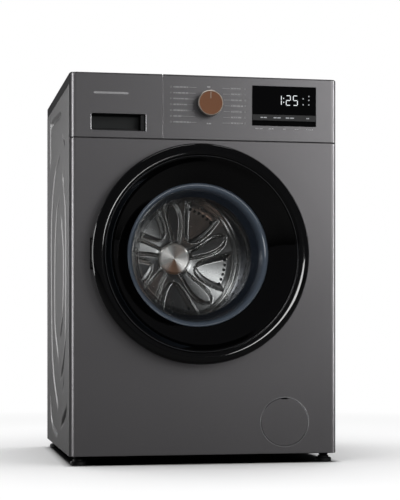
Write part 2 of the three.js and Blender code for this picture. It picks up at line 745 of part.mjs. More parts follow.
function placeDoor() {
  place('door_outer_ring', doorOuterRing(), BLACK_GLOSS);
  place('door_trim_ring', doorTrimRing(), CHROME);
  place('door_dish', doorDish(), BLACK_GLOSS);
  place('door_glass', doorGlass(), DOOR_GLASS);
  place('door_inner_frame', doorInnerFrame(), BLACK_PLASTIC);
  place('door_hinge_leaf', doorHingeLeaf(), ZINC);
  place('door_latch_hook', doorLatchHook(), ZINC);
}

function placeTub() {
  place('tub_front', tubFront(), GREY_PLASTIC);
  place('tub_rear', tubRear(), GREY_PLASTIC);
  place('upper_counterweight', upperCounterweight(), CONCRETE);
  place('motor_housing', motorHousing(), ZINC);
  place('drive_belt', driveBelt(), BELT_RUBBER);
  place('motor_pulley', motorPulley(), ZINC);
}

function placeDrum() {
  place('drum_shell', drumShell(), STAINLESS);
  place('drum_front', drumFront(), STAINLESS);
  place('drum_back', drumBack(), STAINLESS);
  LIFTER_ANGLES.forEach((angle, i) => {
    place(`drum_lifter_${i + 1}`, drumLifter(angle), STAINLESS);
  });
  place('drum_spider', drumSpider(), ZINC);
  place('hub_cap', hubCap(), STAINLESS);
  place('drum_pulley', drumPulley(), ZINC);
}

function placeSuspension() {
  [['left', -1], ['right', 1]].forEach(([side, sign]) => {
    place(`suspension_spring_${side}`, suspensionSpring(sign), ZINC);
    place(`damper_tube_${side}`, damperTube(sign), GREY_PLASTIC);
    place(`damper_rod_${side}`, damperRod(sign), ZINC);
  });
}

function placeBase() {
  place('filter_cover', filterCover(), GRAPHITE);
  place('drain_filter', drainFilter(), GREY_PLASTIC);
  place('drain_pump_body', drainPumpBody(), WHITE_PLASTIC);
  FEET.forEach(({ name, x, y }) => place(name, foot(x, y), BLACK_PLASTIC));
}

placeCabinet();
placeFascia();
placeDoor();
placeTub();
placeDrum();
placeSuspension();
placeBase();

export default machine;
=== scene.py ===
import math

import bmesh
import bpy
import numpy as np
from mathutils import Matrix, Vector


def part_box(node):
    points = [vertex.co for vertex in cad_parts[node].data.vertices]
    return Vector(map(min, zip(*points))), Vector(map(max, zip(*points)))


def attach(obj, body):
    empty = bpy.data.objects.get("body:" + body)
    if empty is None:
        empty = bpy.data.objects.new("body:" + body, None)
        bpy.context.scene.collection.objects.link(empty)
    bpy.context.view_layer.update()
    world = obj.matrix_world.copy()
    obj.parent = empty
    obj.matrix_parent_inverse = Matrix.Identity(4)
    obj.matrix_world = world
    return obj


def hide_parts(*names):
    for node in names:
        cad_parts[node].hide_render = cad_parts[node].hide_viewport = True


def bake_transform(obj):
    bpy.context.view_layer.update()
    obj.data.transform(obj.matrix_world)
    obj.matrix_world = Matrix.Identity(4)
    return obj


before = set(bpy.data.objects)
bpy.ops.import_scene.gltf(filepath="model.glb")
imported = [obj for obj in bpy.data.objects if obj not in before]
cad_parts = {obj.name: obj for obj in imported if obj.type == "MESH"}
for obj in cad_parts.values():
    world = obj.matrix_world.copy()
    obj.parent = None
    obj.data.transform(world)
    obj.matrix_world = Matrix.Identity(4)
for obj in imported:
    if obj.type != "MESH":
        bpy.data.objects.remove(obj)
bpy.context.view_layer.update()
scene = bpy.context.scene

# Lengths are millimetres unless said otherwise. x is from the middle, z from the floor and y
# from the face of the front panel, growing backwards.
MM = 0.001
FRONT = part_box("front_panel")[0].y


def place(x, y, z):
    return (x * MM, FRONT + y * MM, z * MM)


def corners(node):
    """Lowest and highest corner of a CAD node in this script's millimetres."""
    return [(p.x / MM, (p.y - FRONT) / MM, p.z / MM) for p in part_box(node)]


def middle(node, axis):
    low, high = corners(node)
    return (low[axis] + high[axis]) / 2


def half_height(node):
    low, high = corners(node)
    return (high[2] - low[2]) / 2


# Main sizes, read from the frame.
(_, _, BASE_Z), (HALF, _, PANEL_TOP) = corners("front_panel")
(SPLIT_RIGHT, _, FASCIA_Z), (_, FASCIA_BACK, TOP_Z) = corners("control_panel")
(_, LID_Y, LID_Z), (_, BACK_Y, _) = corners("top_cover")
SPLIT_LEFT = corners("drawer_front")[1][0]
DOOR_X, DOOR_Z = middle("door_outer_ring", 0), middle("door_outer_ring", 2)
DRUM_Z, DRUM_R = middle("drum_shell", 2), half_height("drum_shell")
KNOB_X, KNOB_Z = middle("program_knob", 0), middle("program_knob", 2)
KNOB_R = half_height("program_knob")
FLAP_X, FLAP_Z = middle("filter_cover", 0), middle("drain_filter", 2)
REAR_Y = corners("rear_panel")[0][1]
CORD_X, CORD_Z = middle("cord_gland", 0), middle("cord_gland", 2)

# Sizes that the frame doesn't state.
CORNER = 14.0
SHEET = 1.2
FASCIA_SHEET = 2.5
MOUTH = 176.0
FLAP_HOLE = 54.2
HINGE_HALF = 38.0
GRIP_HALF = 48.0
SHELF_Z = 795.0
VALVE_X, VALVE_Z = middle("water_inlet_valve", 0), 790.0


# ---- meshes ----


def arc(cx, cy, radius, start, end, steps=8):
    """Points on an arc, in degrees, both ends included."""
    turns = [math.radians(start + (end - start) * i / steps) for i in range(steps + 1)]
    return [(cx + radius * math.cos(a), cy + radius * math.sin(a)) for a in turns]


def smooth(t):
    """An even step from 0 to 1."""
    t = np.clip(t, 0, 1)
    return t * t * (3 - 2 * t)


def filleted(points, radius, closed=True, steps=5):
    """The outline with each corner rounded; a point's third value is a radius of its own."""
    made = []
    count = len(points)
    for i, point in enumerate(points):
        here = Vector(point[:2])
        if not closed and i in (0, count - 1):
            made.append(tuple(here))
            continue
        before = Vector(points[i - 1][:2]) - here
        after = Vector(points[(i + 1) % count][:2]) - here
        reach = point[2] if len(point) > 2 else radius
        reach = min(reach, before.length * 0.45, after.length * 0.45)
        if reach < 0.02:
            made.append(tuple(here))
            continue
        start, end = here + before.normalized() * reach, here + after.normalized() * reach
        for k in range(steps + 1):
            t = k / steps
            made.append(tuple(start * (1 - t) ** 2 + here * 2 * t * (1 - t) + end * t * t))
    return made


def merged(*shapes):
    """Shapes, each a pair of points and faces, as one."""
    verts, faces = [], []
    for more, its_faces in shapes:
        base = len(verts)
        verts += more
        faces += [tuple(i + base for i in face) for face in its_faces]
    return verts, faces


def loft(rows, closed=False, flip=False, caps=(False, False)):
    """Faces between rows of as many points each; closed joins each row's ends."""
    width = len(rows[0])
    verts = [p for row in rows for p in row]
    faces = []
    for i in range(len(rows) - 1):
        for k in range(width if closed else width - 1):
            n = (k + 1) % width
            face = (i * width + k, i * width + n, (i + 1) * width + n, (i + 1) * width + k)
            faces.append(face[::-1] if flip else face)
    last = (len(rows) - 1) * width
    if caps[0]:
        face = tuple(range(width))
        faces.append(face if flip else face[::-1])
    if caps[1]:
        face = tuple(range(last, last + width))
        faces.append(face[::-1] if flip else face)
    return verts, faces


def turned(profile, x, z, steps=144):
    """A closed (radius, y) profile swept round a line along y."""
    rows = []
    for i in range(steps + 1):
        a = 2 * math.pi * i / steps
        rows.append([(x + r * math.cos(a), y, z + r * math.sin(a)) for r, y in profile])
    return loft(rows, closed=True)


def turned_upright(profile, x, y, steps=64):
    """A closed (radius, z) profile swept round an upright line."""
    verts, faces = turned(profile, x, y, steps)
    return [(a, b, up) for a, up, b in verts], faces


def block(x0, x1, y0, y1, z0, z1, radius=0.8, steps=3):
    """A box with rounded edges."""
    bm = bmesh.new()
    bmesh.ops.create_cube(bm, size=1)
    for v in bm.verts:
        pairs = zip(v.co, ((x0, x1), (y0, y1), (z0, z1)))
        v.co = Vector([ends[part > 0] for part, ends in pairs])
    bmesh.ops.bevel(
        bm, geom=bm.edges[:], offset=radius, segments=steps, affect="EDGES", profile=0.5
    )
    bm.verts.index_update()
    shape = [tuple(v.co) for v in bm.verts], [tuple(v.index for v in f.verts) for f in bm.faces]
    bm.free()
    return shape


def node_block(node, radius):
    """A box with rounded edges in the place of a CAD node."""
    (x0, y0, z0), (x1, y1, z1) = corners(node)
    return block(x0, x1, y0, y1, z0, z1, radius)


def rounded_rect(x0, x1, z0, z1, radii, steps=6):
    """Closed outline; radii are those of the lower left, lower right, upper right, upper left."""
    a, b, c, d = radii
    return (
        arc(x0 + a, z0 + a, a, 180, 270, steps) + arc(x1 - b, z0 + b, b, 270, 360, steps)
        + arc(x1 - c, z1 - c, c, 0, 90, steps) + arc(x0 + d, z1 - d, d, 90, 180, steps)
    )


def prism(outline, y0, y1):
    """An outline seen from the front, given a depth."""
    rows = [[(x, y, z) for x, z in outline] for y in (y1, y0)]
    return loft(rows, closed=True, caps=(True, True))


def circle(x, z, radius, steps=96):
    return arc(x, z, radius, 0, 360 - 360 / steps, steps - 1)


def outline_rows(x0, x1, z0, z1, radii, levels):
    """Rounded rectangles stacked along y, from (inset, y) levels."""
    rows = []
    for inset, y in levels:
        outline = rounded_rect(x0 + inset, x1 - inset, z0 + inset, z1 - inset, radii)
        rows.append([(x, y, z) for x, z in outline])
    return rows


def thing(name, shape, tidy=True):
    """An object in the scene; tidy turns its faces outwards."""
    verts, faces = shape
    mesh = bpy.data.meshes.new(name)
    mesh.from_pydata([place(*v) for v in verts], [], faces)
    bm = bmesh.new()
    bm.from_mesh(mesh)
    bmesh.ops.remove_doubles(bm, verts=bm.verts, dist=2e-6)
    bmesh.ops.dissolve_degenerate(bm, edges=bm.edges, dist=1e-7)
    if tidy:
        bmesh.ops.recalc_face_normals(bm, faces=bm.faces)
    bm.to_mesh(mesh)
    bm.free()
    obj = bpy.data.objects.new(name, mesh)
    scene.collection.objects.link(obj)
    return obj


def applied(obj):
    """Turns the modifiers into mesh."""
    graph = bpy.context.evaluated_depsgraph_get()
    old = obj.data
    obj.data = bpy.data.meshes.new_from_object(obj.evaluated_get(graph))
    obj.modifiers.clear()
    bpy.data.meshes.remove(old)
    return obj


def thicken(obj, thickness):
    """Gives a sheet its thickness, behind its faces."""
    solid = obj.modifiers.new("thickness", "SOLIDIFY")
    solid.thickness = thickness * MM
    solid.offset = -1
    return applied(obj)


def cut(obj, *shapes):
    """Takes shapes away from a piece."""
    tools = [thing(f"tool_{i}", shape) for i, shape in enumerate(shapes)]
    for tool in tools:
        taken = obj.modifiers.new(tool.name, "BOOLEAN")
        taken.operation = "DIFFERENCE"
        taken.solver = "EXACT"
        taken.object = tool
    applied(obj)
    for tool in tools:
        bpy.data.objects.remove(tool)
    return obj


def settle(obj, finish, body, nodes=(), slot=None, sharp=32.0, weighted=True):
    """Gives a piece its finish and shading, and puts it on its body.

    The body is a name, or the ends of a joint between two bodies; a piece given a joint is only
    moved into world space and put on no body. The slot is the finish's own unless another is given;
    it is looked up and used no further."""
    obj.data.materials.clear()
    obj.data.materials.append(finish)
    for polygon in obj.data.polygons:
        polygon.use_smooth = True
    obj.data.set_sharp_from_angle(angle=math.radians(sharp))
    if weighted:
        normals = obj.modifiers.new("normals", "WEIGHTED_NORMAL")
        normals.keep_sharp = True
    if isinstance(body, tuple):
        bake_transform(obj)
    else:
        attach(obj, body)
    slot = slot or SLOTS.get(finish.name)
    if nodes:
        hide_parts(*nodes)
    return obj


def piece(name, shape, finish, body, nodes=(), **settings):
    return settle(thing(name, shape), finish, body, nodes, **settings)


# ---- materials ----


class Finish:
    """A node material: a principled shader with procedural colour, roughness and bump."""

    def __init__(self, name, color, metallic=0.0, roughness=0.5, **fixed):
        self.material = bpy.data.materials.new(name)
        self.material.use_nodes = True
        self.tree = self.material.node_tree
        self.shader = self.tree.nodes["Principled BSDF"]
        self.color = self.rgb(color)
        self.rough = roughness
        self.normal = None
        self.shader.inputs["Base Color"].default_value = (*color, 1)
        self.shader.inputs["Metallic"].default_value = metallic
        self.shader.inputs["Roughness"].default_value = roughness
        for key, value in fixed.items():
            self.shader.inputs[key.replace("_", " ")].default_value = value
        self.coordinates = self.node("ShaderNodeTexCoord").outputs["Object"]

    def node(self, kind, **settings):
        made = self.tree.nodes.new(kind)
        for key, value in settings.items():
            setattr(made, key, value)
        return made

    def link(self, source, target):
        if isinstance(source, bpy.types.NodeSocket):
            self.tree.links.new(source, target)
        else:
            target.default_value = source
        return target

    def rgb(self, color):
        made = self.node("ShaderNodeRGB")
        made.outputs[0].default_value = (*color, 1)
        return made.outputs[0]

    def noise(self, scale, detail=3.0, stretch=None):
        made = self.node("ShaderNodeTexNoise")
        made.inputs["Scale"].default_value = scale
        made.inputs["Detail"].default_value = detail
        vector = self.coordinates
        if stretch:
            mapping = self.node("ShaderNodeMapping")
            mapping.inputs["Scale"].default_value = stretch
            self.link(vector, mapping.inputs["Vector"])
            vector = mapping.outputs[0]
        self.link(vector, made.inputs["Vector"])
        return made.outputs["Fac"]

    def cells(self, scale, output="Color"):
        made = self.node("ShaderNodeTexVoronoi")
        made.inputs["Scale"].default_value = scale
        self.link(self.coordinates, made.inputs["Vector"])
        return made.outputs[output]

    def math(self, operation, a, b=0.0, c=0.0):
        made = self.node("ShaderNodeMath", operation=operation)
        for value, socket in zip((a, b, c), made.inputs):
            self.link(value, socket)
        return made.outputs[0]

    def length(self, a, b):
        squares = self.math("ADD", self.math("MULTIPLY", a, a), self.math("MULTIPLY", b, b))
        return self.math("SQRT", squares)

    def split(self, vector):
        made = self.node("ShaderNodeSeparateXYZ")
        self.link(vector, made.inputs[0])
        return made.outputs

    def mapped(self, value, low, high, to_low=0.0, to_high=1.0):
        made = self.node("ShaderNodeMapRange")
        for key, number in zip(
            ("Value", "From Min", "From Max", "To Min", "To Max"),
            (value, low, high, to_low, to_high),
        ):
            self.link(number, made.inputs[key])
        return made.outputs[0]

    def mix(self, fac, a, b):
        made = self.node("ShaderNodeMix", data_type="RGBA")
        self.link(fac, made.inputs["Factor"])
        for value, key in ((a, "A"), (b, "B")):
            self.link((*value, 1) if isinstance(value, tuple) else value, made.inputs[key])
        return made.outputs["Result"]

    def vary(self, fac, amount):
        """Lightens and darkens the colour by up to amount, as fac runs from 0 to 1."""
        scaled = self.node("ShaderNodeVectorMath", operation="SCALE")
        self.link(self.color, scaled.inputs[0])
        self.link(self.mapped(fac, 0.0, 1.0, 1 - amount, 1 + amount), scaled.inputs["Scale"])
        self.color = scaled.outputs[0]
        return self

    def tint(self, fac, color):
        """Turns the colour into another as fac runs from 0 to 1."""
        self.color = self.mix(fac, self.color, color)
        return self

    def roughen(self, fac, low, high):
        self.rough = self.mapped(fac, 0.0, 1.0, low, high)
        return self

    def bump(self, height, strength, distance):
        made = self.node("ShaderNodeBump")
        made.inputs["Strength"].default_value = strength
        made.inputs["Distance"].default_value = distance * MM
        self.link(height, made.inputs["Height"])
        if self.normal:
            self.link(self.normal, made.inputs["Normal"])
        self.normal = made.outputs[0]
        return self

    def polar(self, z):
        """Angle about a line along y at height z in radians, radius and y in metres."""
        shifted = self.node("ShaderNodeVectorMath", operation="SUBTRACT")
        self.link(self.coordinates, shifted.inputs[0])
        shifted.inputs[1].default_value = (0, 0, z * MM)
        x, y, up = self.split(shifted.outputs[0])
        return self.math("ARCTAN2", up, x), self.length(x, up), y

    def dots(self, u, v, width, height, radius):
        """Mask of round holes on a staggered grid, u and v in metres, sizes in millimetres."""
        row = self.math("DIVIDE", v, height * MM)
        odd = self.math("FLOORED_MODULO", self.math("FLOOR", row), 2.0)
        column = self.math("DIVIDE", u, width * MM)
        column = self.math("ADD", column, self.math("MULTIPLY", odd, 0.5))
        parts = []
        for place_in, size in ((column, width), (row, height)):
            centred = self.math("SUBTRACT", self.math("FRACT", place_in), 0.5)
            parts.append(self.math("MULTIPLY", centred, size))
        return self.mapped(self.length(*parts), radius + 0.3, radius - 0.3)

    def done(self):
        self.link(self.color, self.shader.inputs["Base Color"])
        self.link(self.rough, self.shader.inputs["Roughness"])
        if self.normal:
            self.link(self.normal, self.shader.inputs["Normal"])
        return self.material


def mixed(tree, fac, first, second):
    """Two shaders mixed by fac, for a material or the world."""
    made = tree.nodes.new("ShaderNodeMixShader")
    for source, socket in zip((fac, first, second), made.inputs):
        tree.links.new(source, socket)
    return made.outputs[0]


def paint(name, color, metallic=0.8, roughness=0.36):
    """Satin metallic paint with fine flakes and a trace of orange peel."""
    f = Finish(name, color, metallic, roughness, Coat_Weight=0.2, Coat_Roughness=0.15)
    f.vary(f.cells(2600), 0.10).vary(f.noise(2.2, 2), 0.05)
    f.roughen(f.noise(60, 4), roughness - 0.03, roughness + 0.04)
    return f.bump(f.noise(700, 2), 0.05, 0.05).done()


def gloss(name, color=(0.006, 0.006, 0.0065), roughness=0.05):
    """Piano black with faint handling marks."""
    f = Finish(name, color, 0.0, roughness, Coat_Weight=0.5, Coat_Roughness=0.03)
    f.vary(f.noise(12, 3), 0.15)
    f.roughen(f.noise(35, 5, (1, 1, 0.3)), roughness - 0.015, roughness + 0.03)
    return f.bump(f.noise(18, 2), 0.03, 0.3).done()


def moulded(name, color, roughness=0.5, grain=1600, depth=0.06):
    f = Finish(name, color, 0.0, roughness)
    f.vary(f.noise(9, 4), 0.06)
    f.roughen(f.noise(140, 3), roughness - 0.06, roughness + 0.08)
    return f.bump(f.noise(grain, 4), 0.25, depth).done()


def galvanised(name="galvanised_sheet"):
    f = Finish(name, (0.48, 0.49, 0.50), 0.9, 0.4)
    f.vary(f.cells(95), 0.22).vary(f.noise(5, 3), 0.10)
    f.roughen(f.cells(95), 0.3, 0.52)
    return f.bump(f.cells(95, "Distance"), 0.1, 0.1).done()


def machined(name="machined_steel"):
    f = Finish(name, (0.45, 0.45, 0.46), 1.0, 0.3)
    f.vary(f.noise(300, 4, (1, 0.06, 1)), 0.12)
    f.roughen(f.noise(80, 4), 0.24, 0.38)
    return f.bump(f.noise(900, 3, (1, 0.1, 1)), 0.08, 0.05).done()


def steel(name, color=(0.62, 0.615, 0.61), roughness=0.13, waves=0.12):
    """Polished stainless sheet, a little uneven from pressing."""
    f = Finish(name, color, 1.0, roughness)
    f.vary(f.noise(30, 4), 0.07)
    f.roughen(f.noise(45, 5), roughness - 0.04, roughness + 0.06)
    return f.bump(f.noise(22, 2), waves, 0.8).bump(f.noise(1500, 2), 0.03, 0.03).done()


def perforated(name="drum_wall"):
    """Drum wall: staggered rows of punched holes with a shallow dish round each, the holes painted
    near-black as painted shade.
    """
    around, pitch, hole, dish = 96, 12.0, 1.9, 4.2
    f = Finish(name, (0.60, 0.60, 0.60), 1.0, 0.15)
    f.vary(f.noise(25, 4), 0.08)
    angle, _, y = f.polar(DRUM_Z)
    u, width = f.math("MULTIPLY", angle, DRUM_R * MM), 2 * math.pi * DRUM_R / around
    holes, dishes = (f.dots(u, y, width, pitch, radius) for radius in (hole, dish))
    f.bump(f.math("MULTIPLY", dishes, -1.0), 0.5, 0.8)
    f.bump(f.noise(20, 2), 0.1, 0.6)
    f.roughen(f.noise(50, 4), 0.10, 0.22)
    # painted shade: the holes are near-black and not metallic, standing in for the dark seen
    # through them
    f.tint(holes, (0.004, 0.004, 0.004))
    f.link(f.mapped(holes, 0.0, 1.0, 1.0, 0.0), f.shader.inputs["Metallic"])
    return f.done()


def spun(name, color, roughness):
    """Metal with lathe marks round the y axis, so highlights run out from its centre."""
    f = Finish(name, color, 1.0, roughness, Anisotropic=0.85, Anisotropic_Rotation=0.25)
    tangent = f.node("ShaderNodeTangent", direction_type="RADIAL", axis="Y")
    f.link(tangent.outputs[0], f.shader.inputs["Tangent"])
    return f


def drum_back_steel(name="drum_back_steel"):
    """Spun steel, polished inside the star, its base darker than the drum's other steel and darker
    still among the studs round it: painted shade deep in the drum.
    """
    # the base colour is darker than the drum's other steel as painted shade
    f = spun(name, (0.37, 0.362, 0.35), 0.26)
    f.vary(f.noise(40, 3), 0.06)
    _, radius, _ = f.polar(DRUM_Z)
    # painted shade: the steel turns near-black among the studs outside the star
    f.tint(f.mapped(radius, 158 * MM, 170 * MM), (0.085, 0.085, 0.09))
    f.roughen(f.noise(70, 4), 0.24, 0.29)
    return f.done()


def satin(name, color, metallic, roughness):
    """Anodised metal with an even satin sheen."""
    f = Finish(name, color, metallic, roughness)
    f.vary(f.noise(700, 3), 0.05)
    f.roughen(f.noise(90, 4), roughness - 0.03, roughness + 0.05)
    return f.bump(f.noise(1500, 2), 0.04, 0.02).done()


def hub_metal(name="hub_metal"):
    """Spun hub disc with painted reflections: grey fans that run from the centre, and a warm one in
    the lowest.
    """
    f = spun(name, (0.78, 0.74, 0.70), 0.36)
    angle, _, _ = f.polar(DRUM_Z)
    # painted reflections: the colour lightens and darkens in fans round the centre
    reflection_fans = f.math("SINE", f.math("MULTIPLY", angle, 4.0))
    f.vary(f.mapped(reflection_fans, -1.0, 1.0), 0.35)
    # painted reflection of warm light in the lowest fan
    f.tint(f.mapped(f.math("SINE", angle), -0.80, -0.97), (0.62, 0.38, 0.26))
    f.roughen(f.noise(90, 4), 0.32, 0.42)
    return f.done()


def glass(name="door_bowl_glass"):
    """Thick clear glass: see-through, with reflections that grow towards grazing angles."""
    f = Finish(name, (0.5, 0.56, 0.6), 0.0, 0.02)
    clear, shine = f.node("ShaderNodeBsdfTransparent"), f.node("ShaderNodeBsdfGlossy")
    facing = f.node("ShaderNodeFresnel")
    facing.inputs["IOR"].default_value = 1.45
    f.link(f.mix(f.noise(6, 2), (0.90, 0.93, 0.95), (0.94, 0.96, 0.97)), clear.inputs["Color"])
    f.link(f.mapped(f.noise(30, 4), 0.0, 1.0, 0.01, 0.04), shine.inputs["Roughness"])
    share = f.math("MULTIPLY", facing.outputs[0], 0.6)
    both = mixed(f.tree, share, clear.outputs[0], shine.outputs[0])
    f.link(both, f.tree.nodes["Material Output"].inputs["Surface"])
    return f.material


def glass_edge(name="door_glass_edge"):
    """The rim of the glass, smoky blue in front and darkened to navy deeper in by painted shade."""
    f = Finish(name, (0.135, 0.170, 0.220), 0.0, 0.16, Coat_Weight=0.4, Coat_Roughness=0.08)
    f.vary(f.noise(14, 3), 0.12)
    _, _, y = f.polar(DOOR_Z)
    # painted shade: the rim darkens to navy deeper into the bowl
    f.tint(f.mapped(y, FRONT + 18 * MM, FRONT + 42 * MM), (0.020, 0.028, 0.042))
    f.roughen(f.noise(60, 3), 0.09, 0.16)
    return f.bump(f.noise(25, 2), 0.05, 0.3).done()


def lit(name, color, strength):
    """A lit segment, a little uneven in brightness."""
    f = Finish(name, color, 0.0, 0.4)
    uneven = f.mix(f.noise(400, 2), color, tuple(c * 0.93 for c in color))
    f.link(uneven, f.shader.inputs["Emission Color"])
    f.shader.inputs["Emission Strength"].default_value = strength
    return f.done()


def stone(name="cast_concrete"):
    f = Finish(name, (0.33, 0.32, 0.30), 0.0, 0.95)
    f.vary(f.noise(60, 6), 0.25).vary(f.cells(160), 0.08)
    return f.bump(f.noise(250, 6), 0.5, 0.6).done()


GRAPHITE = paint("graphite_paint", (0.200, 0.194, 0.200))
FASCIA = paint("graphite_fascia", (0.205, 0.200, 0.206), 0.8, 0.35)
SIDE = paint("graphite_side", (0.200, 0.197, 0.198), 0.75, 0.40)
BLACK = gloss("black_gloss")
PANE = gloss("display_pane", (0.004, 0.004, 0.0045), 0.04)
DARK = moulded("black_plastic", (0.016, 0.016, 0.017), 0.45)
POCKET = moulded("pocket_plastic", (0.022, 0.026, 0.025), 0.35)
WHITE = moulded("white_plastic", (0.70, 0.71, 0.70), 0.42)
GREY = moulded("grey_plastic", (0.33, 0.34, 0.35), 0.55)
ZINC = galvanised()
MACHINED = machined()
STEEL = steel("drum_steel")
STEEL_BACK = drum_back_steel()
WALL = perforated()
HUB = hub_metal()
CHROME = steel("bright_trim", (0.74, 0.74, 0.75), 0.06, 0.02)
CHAMPAGNE = satin("champagne_rim", (0.80, 0.70, 0.60), 0.35, 0.35)
COPPER = satin("copper_face", (0.320, 0.140, 0.070), 0.55, 0.42)
GLASS = glass()
GLASS_EDGE = glass_edge()
RUBBER = moulded("gasket_rubber", (0.16, 0.16, 0.17), 0.6, 500, 0.2)
BELT = moulded("belt_rubber", (0.02, 0.02, 0.02), 0.65, 900, 0.15)
CONCRETE = stone()
COATED = moulded("black_coated_steel", (0.012, 0.012, 0.012), 0.4)
# near-black discs that stand in for holes: painted shade
HOLE_SHADE = moulded("hole_black", (0.003, 0.003, 0.003), 0.7)
PRINT = moulded("printed_mark", (0.95, 0.95, 0.96), 0.5, 2500, 0.01)
# grip_edge is the trim of the drawer grip, and round the filter opening a painted highlight
GRIP_EDGE = paint("grip_edge", (0.40, 0.40, 0.41), 0.7, 0.32)
BADGE = steel("plain_badge", (0.80, 0.80, 0.80), 0.25, 0.02)
DIGIT = lit("display_digit", (0.86, 0.90, 0.92), 0.85)
DIM_DIGIT = lit("display_mark", (0.50, 0.52, 0.54), 0.45)
STRIP = moulded("display_strip", (0.040, 0.040, 0.041), 0.45)

# The CAD material slot that each finish is meant for; settle looks it up and uses it no further.
# Print, lit marks and holes have none.
SLOTS = {
    finish.name: slot
    for slot, finishes in {
        "graphite_paint": (GRAPHITE, SIDE),
        "graphite_fascia": (FASCIA,),
        "black_gloss": (BLACK, PANE, STRIP),
        "black_plastic": (DARK, POCKET),
        "white_plastic": (WHITE,),
        "grey_plastic": (GREY,),
        "zinc_steel": (ZINC, MACHINED, COATED),
        "stainless": (STEEL, STEEL_BACK, WALL, HUB),
        "chrome": (CHROME, GRIP_EDGE, BADGE),
        "copper_disc": (CHAMPAGNE, COPPER),
        "door_glass": (GLASS, GLASS_EDGE),
        "gasket_rubber": (RUBBER,),
        "belt_rubber": (BELT,),
        "concrete": (CONCRETE,),
    }.items()
    for finish in finishes
}


# ---- cabinet ----


def plan_path(x0, x1, left, right, inset, steps=10):
    """Front edge of a sheet in plan, from its left return to its right one."""
    return (
        [(x0 + inset, FASCIA_BACK)]
        + arc(x0 + left, left, max(left - inset, 0.05), 180, 270, steps)
        + arc(x1 - right, right, max(right - inset, 0.05), 270, 360, steps)
        + [(x1 - inset, FASCIA_BACK)]
    )


def edge_rows(z0, z1, bottom, top, fold, steps=6):
    """Heights and insets from the lower fold to the top edge, both edges rounded."""
    turns = [math.radians(90 * i / steps) for i in range(steps + 1)]
    rows = [(z0, bottom + fold)] if fold else []
    rows += [(z0 + bottom * (1 - math.cos(a)), bottom * (1 - math.sin(a))) for a in turns]
    rows += [(z1 - top * (1 - math.cos(a)), top * (1 - math.sin(a))) for a in reversed(turns)]
    return rows


def front_skin(name, x0, x1, left, right, z0, z1, bottom, top, fold, thickness, cap=True):
    """A front sheet with rounded edges. cap closes its top back to the return, else it folds in."""
    rows = edge_rows(z0, z1, bottom, top, fold)
    if not cap:
        rows.append((z1, top + fold))
    lines = [[(x, y, z) for x, y in plan_path(x0, x1, left, right, inset)] for z, inset in rows]
    return thicken(thing(name, loft(lines, caps=(False, cap)), tidy=False), thickness)


def front_panel():
    """The big front sheet with the loading mouth, the filter opening and the lock's slot."""
    obj = front_skin(
        "front_panel_skin", -HALF, HALF, CORNER, CORNER, BASE_Z, PANEL_TOP,
        bottom=1.5, top=2.2, fold=8, thickness=SHEET, cap=False,
    )
    cut(
        obj,
        prism(circle(DOOR_X, DOOR_Z, MOUTH, 160), -5, 5),
        prism(circle(FLAP_X, FLAP_Z, FLAP_HOLE, 120), -5, 5),
        block(DOOR_X + 185, DOOR_X + 204, -5, 5, DOOR_Z - 14, DOOR_Z + 14, 0.5),
    )
    settle(obj, GRAPHITE, "cabinet", ["front_panel"])
    edge, lap = MOUTH - 0.2, MOUTH + 4
    lip = filleted([(edge, 0.2), (lap, 0.2), (lap, 1.0), (edge, 3.5)], 0.3)
    piece("mouth_lip", turned(lip, DOOR_X, DOOR_Z), GRAPHITE, "cabinet")


# Points in y and z along the grooves pressed into each side sheet.
GROOVES = [
    [(197, 786), (330, 792), (440, 793), (459, 784), (462, 740), (460, 689)],
    [(156, 730), (130, 717), (107, 700)],
    [(225, 695), (333, 664), (403, 611), (440, 540), (443, 467), (438, 369), (416, 247),
     (369, 176), (266, 111)],
    [(162, 644), (117, 597), (93, 540), (87, 452), (85, 364), (97, 276), (138, 219), (207, 183)],
    [(232, 597), (298, 566), (337, 510), (347, 463), (352, 368), (338, 296), (254, 224)],
    [(198, 553), (162, 511), (137, 454), (146, 365), (173, 309), (232, 268)],
    [(127, 188), (142, 170), (158, 156)],
    [(66, 127), (85, 113), (200, 73)],
    [(461, 132), (452, 98), (436, 75), (380, 58), (281, 49)],
]


def smooth_line(points, step=3.0):
    """Points about step apart on a smooth curve through the given ones."""
    made = []
    ends = [points[0]] + points + [points[-1]]
    for a, b, c, d in zip(ends, ends[1:], ends[2:], ends[3:]):
        a, b, c, d = (np.array(p, float) for p in (a, b, c, d))
        count = max(2, int(np.linalg.norm(c - b) / step))
        for i in range(count):
            t = i / count
            bend, twist = 2 * a - 5 * b + 4 * c - d, 3 * b - a - 3 * c + d
            made.append(0.5 * (2 * b + (c - a) * t + bend * t**2 + twist * t**3))
    made.append(np.array(points[-1], float))
    return np.array(made)


def groove_depth(y, z, width=10.0, depth=6.0, taper=38.0):
    """Depth of the pressed grooves at points of the side sheet."""
    total = np.zeros(len(y))
    margin = 1.5 * width
    for groove in GROOVES:
        line = smooth_line(groove)
        along = np.concatenate([[0], np.cumsum(np.linalg.norm(np.diff(line, axis=0), axis=1))])
        fade = 0.25 + 0.75 * smooth(np.minimum(along, along[-1] - along) / taper)
        low, high = line.min(0) - margin, line.max(0) + margin
        near = np.where((y > low[0]) & (y < high[0]) & (z > low[1]) & (z < high[1]))[0]
        gaps = np.hypot(y[near, None] - line[None, :, 0], z[near, None] - line[None, :, 1])
        strength = fade[gaps.argmin(1)]
        across = gaps.min(1) / (width * (0.5 + 0.5 * strength))
        total[near] = np.maximum(total[near], depth * strength * smooth(1 - across))
    return total


def spring_shelf(side, name):
    """The bracket that a tub spring hangs from."""
    outer = HALF - SHEET - 7
    shelf, flange = (sorted((side * inner, side * outer)) for inner in (199, outer - 3))
    shape = merged(
        block(*shelf, 314, 346, SHELF_Z, SHELF_Z + 3, 0.6),
        block(*flange, 314, 346, SHELF_Z - 25, SHELF_Z + 2, 0.6),
    )
    piece(f"{name}_spring_shelf", shape, ZINC, "cabinet")


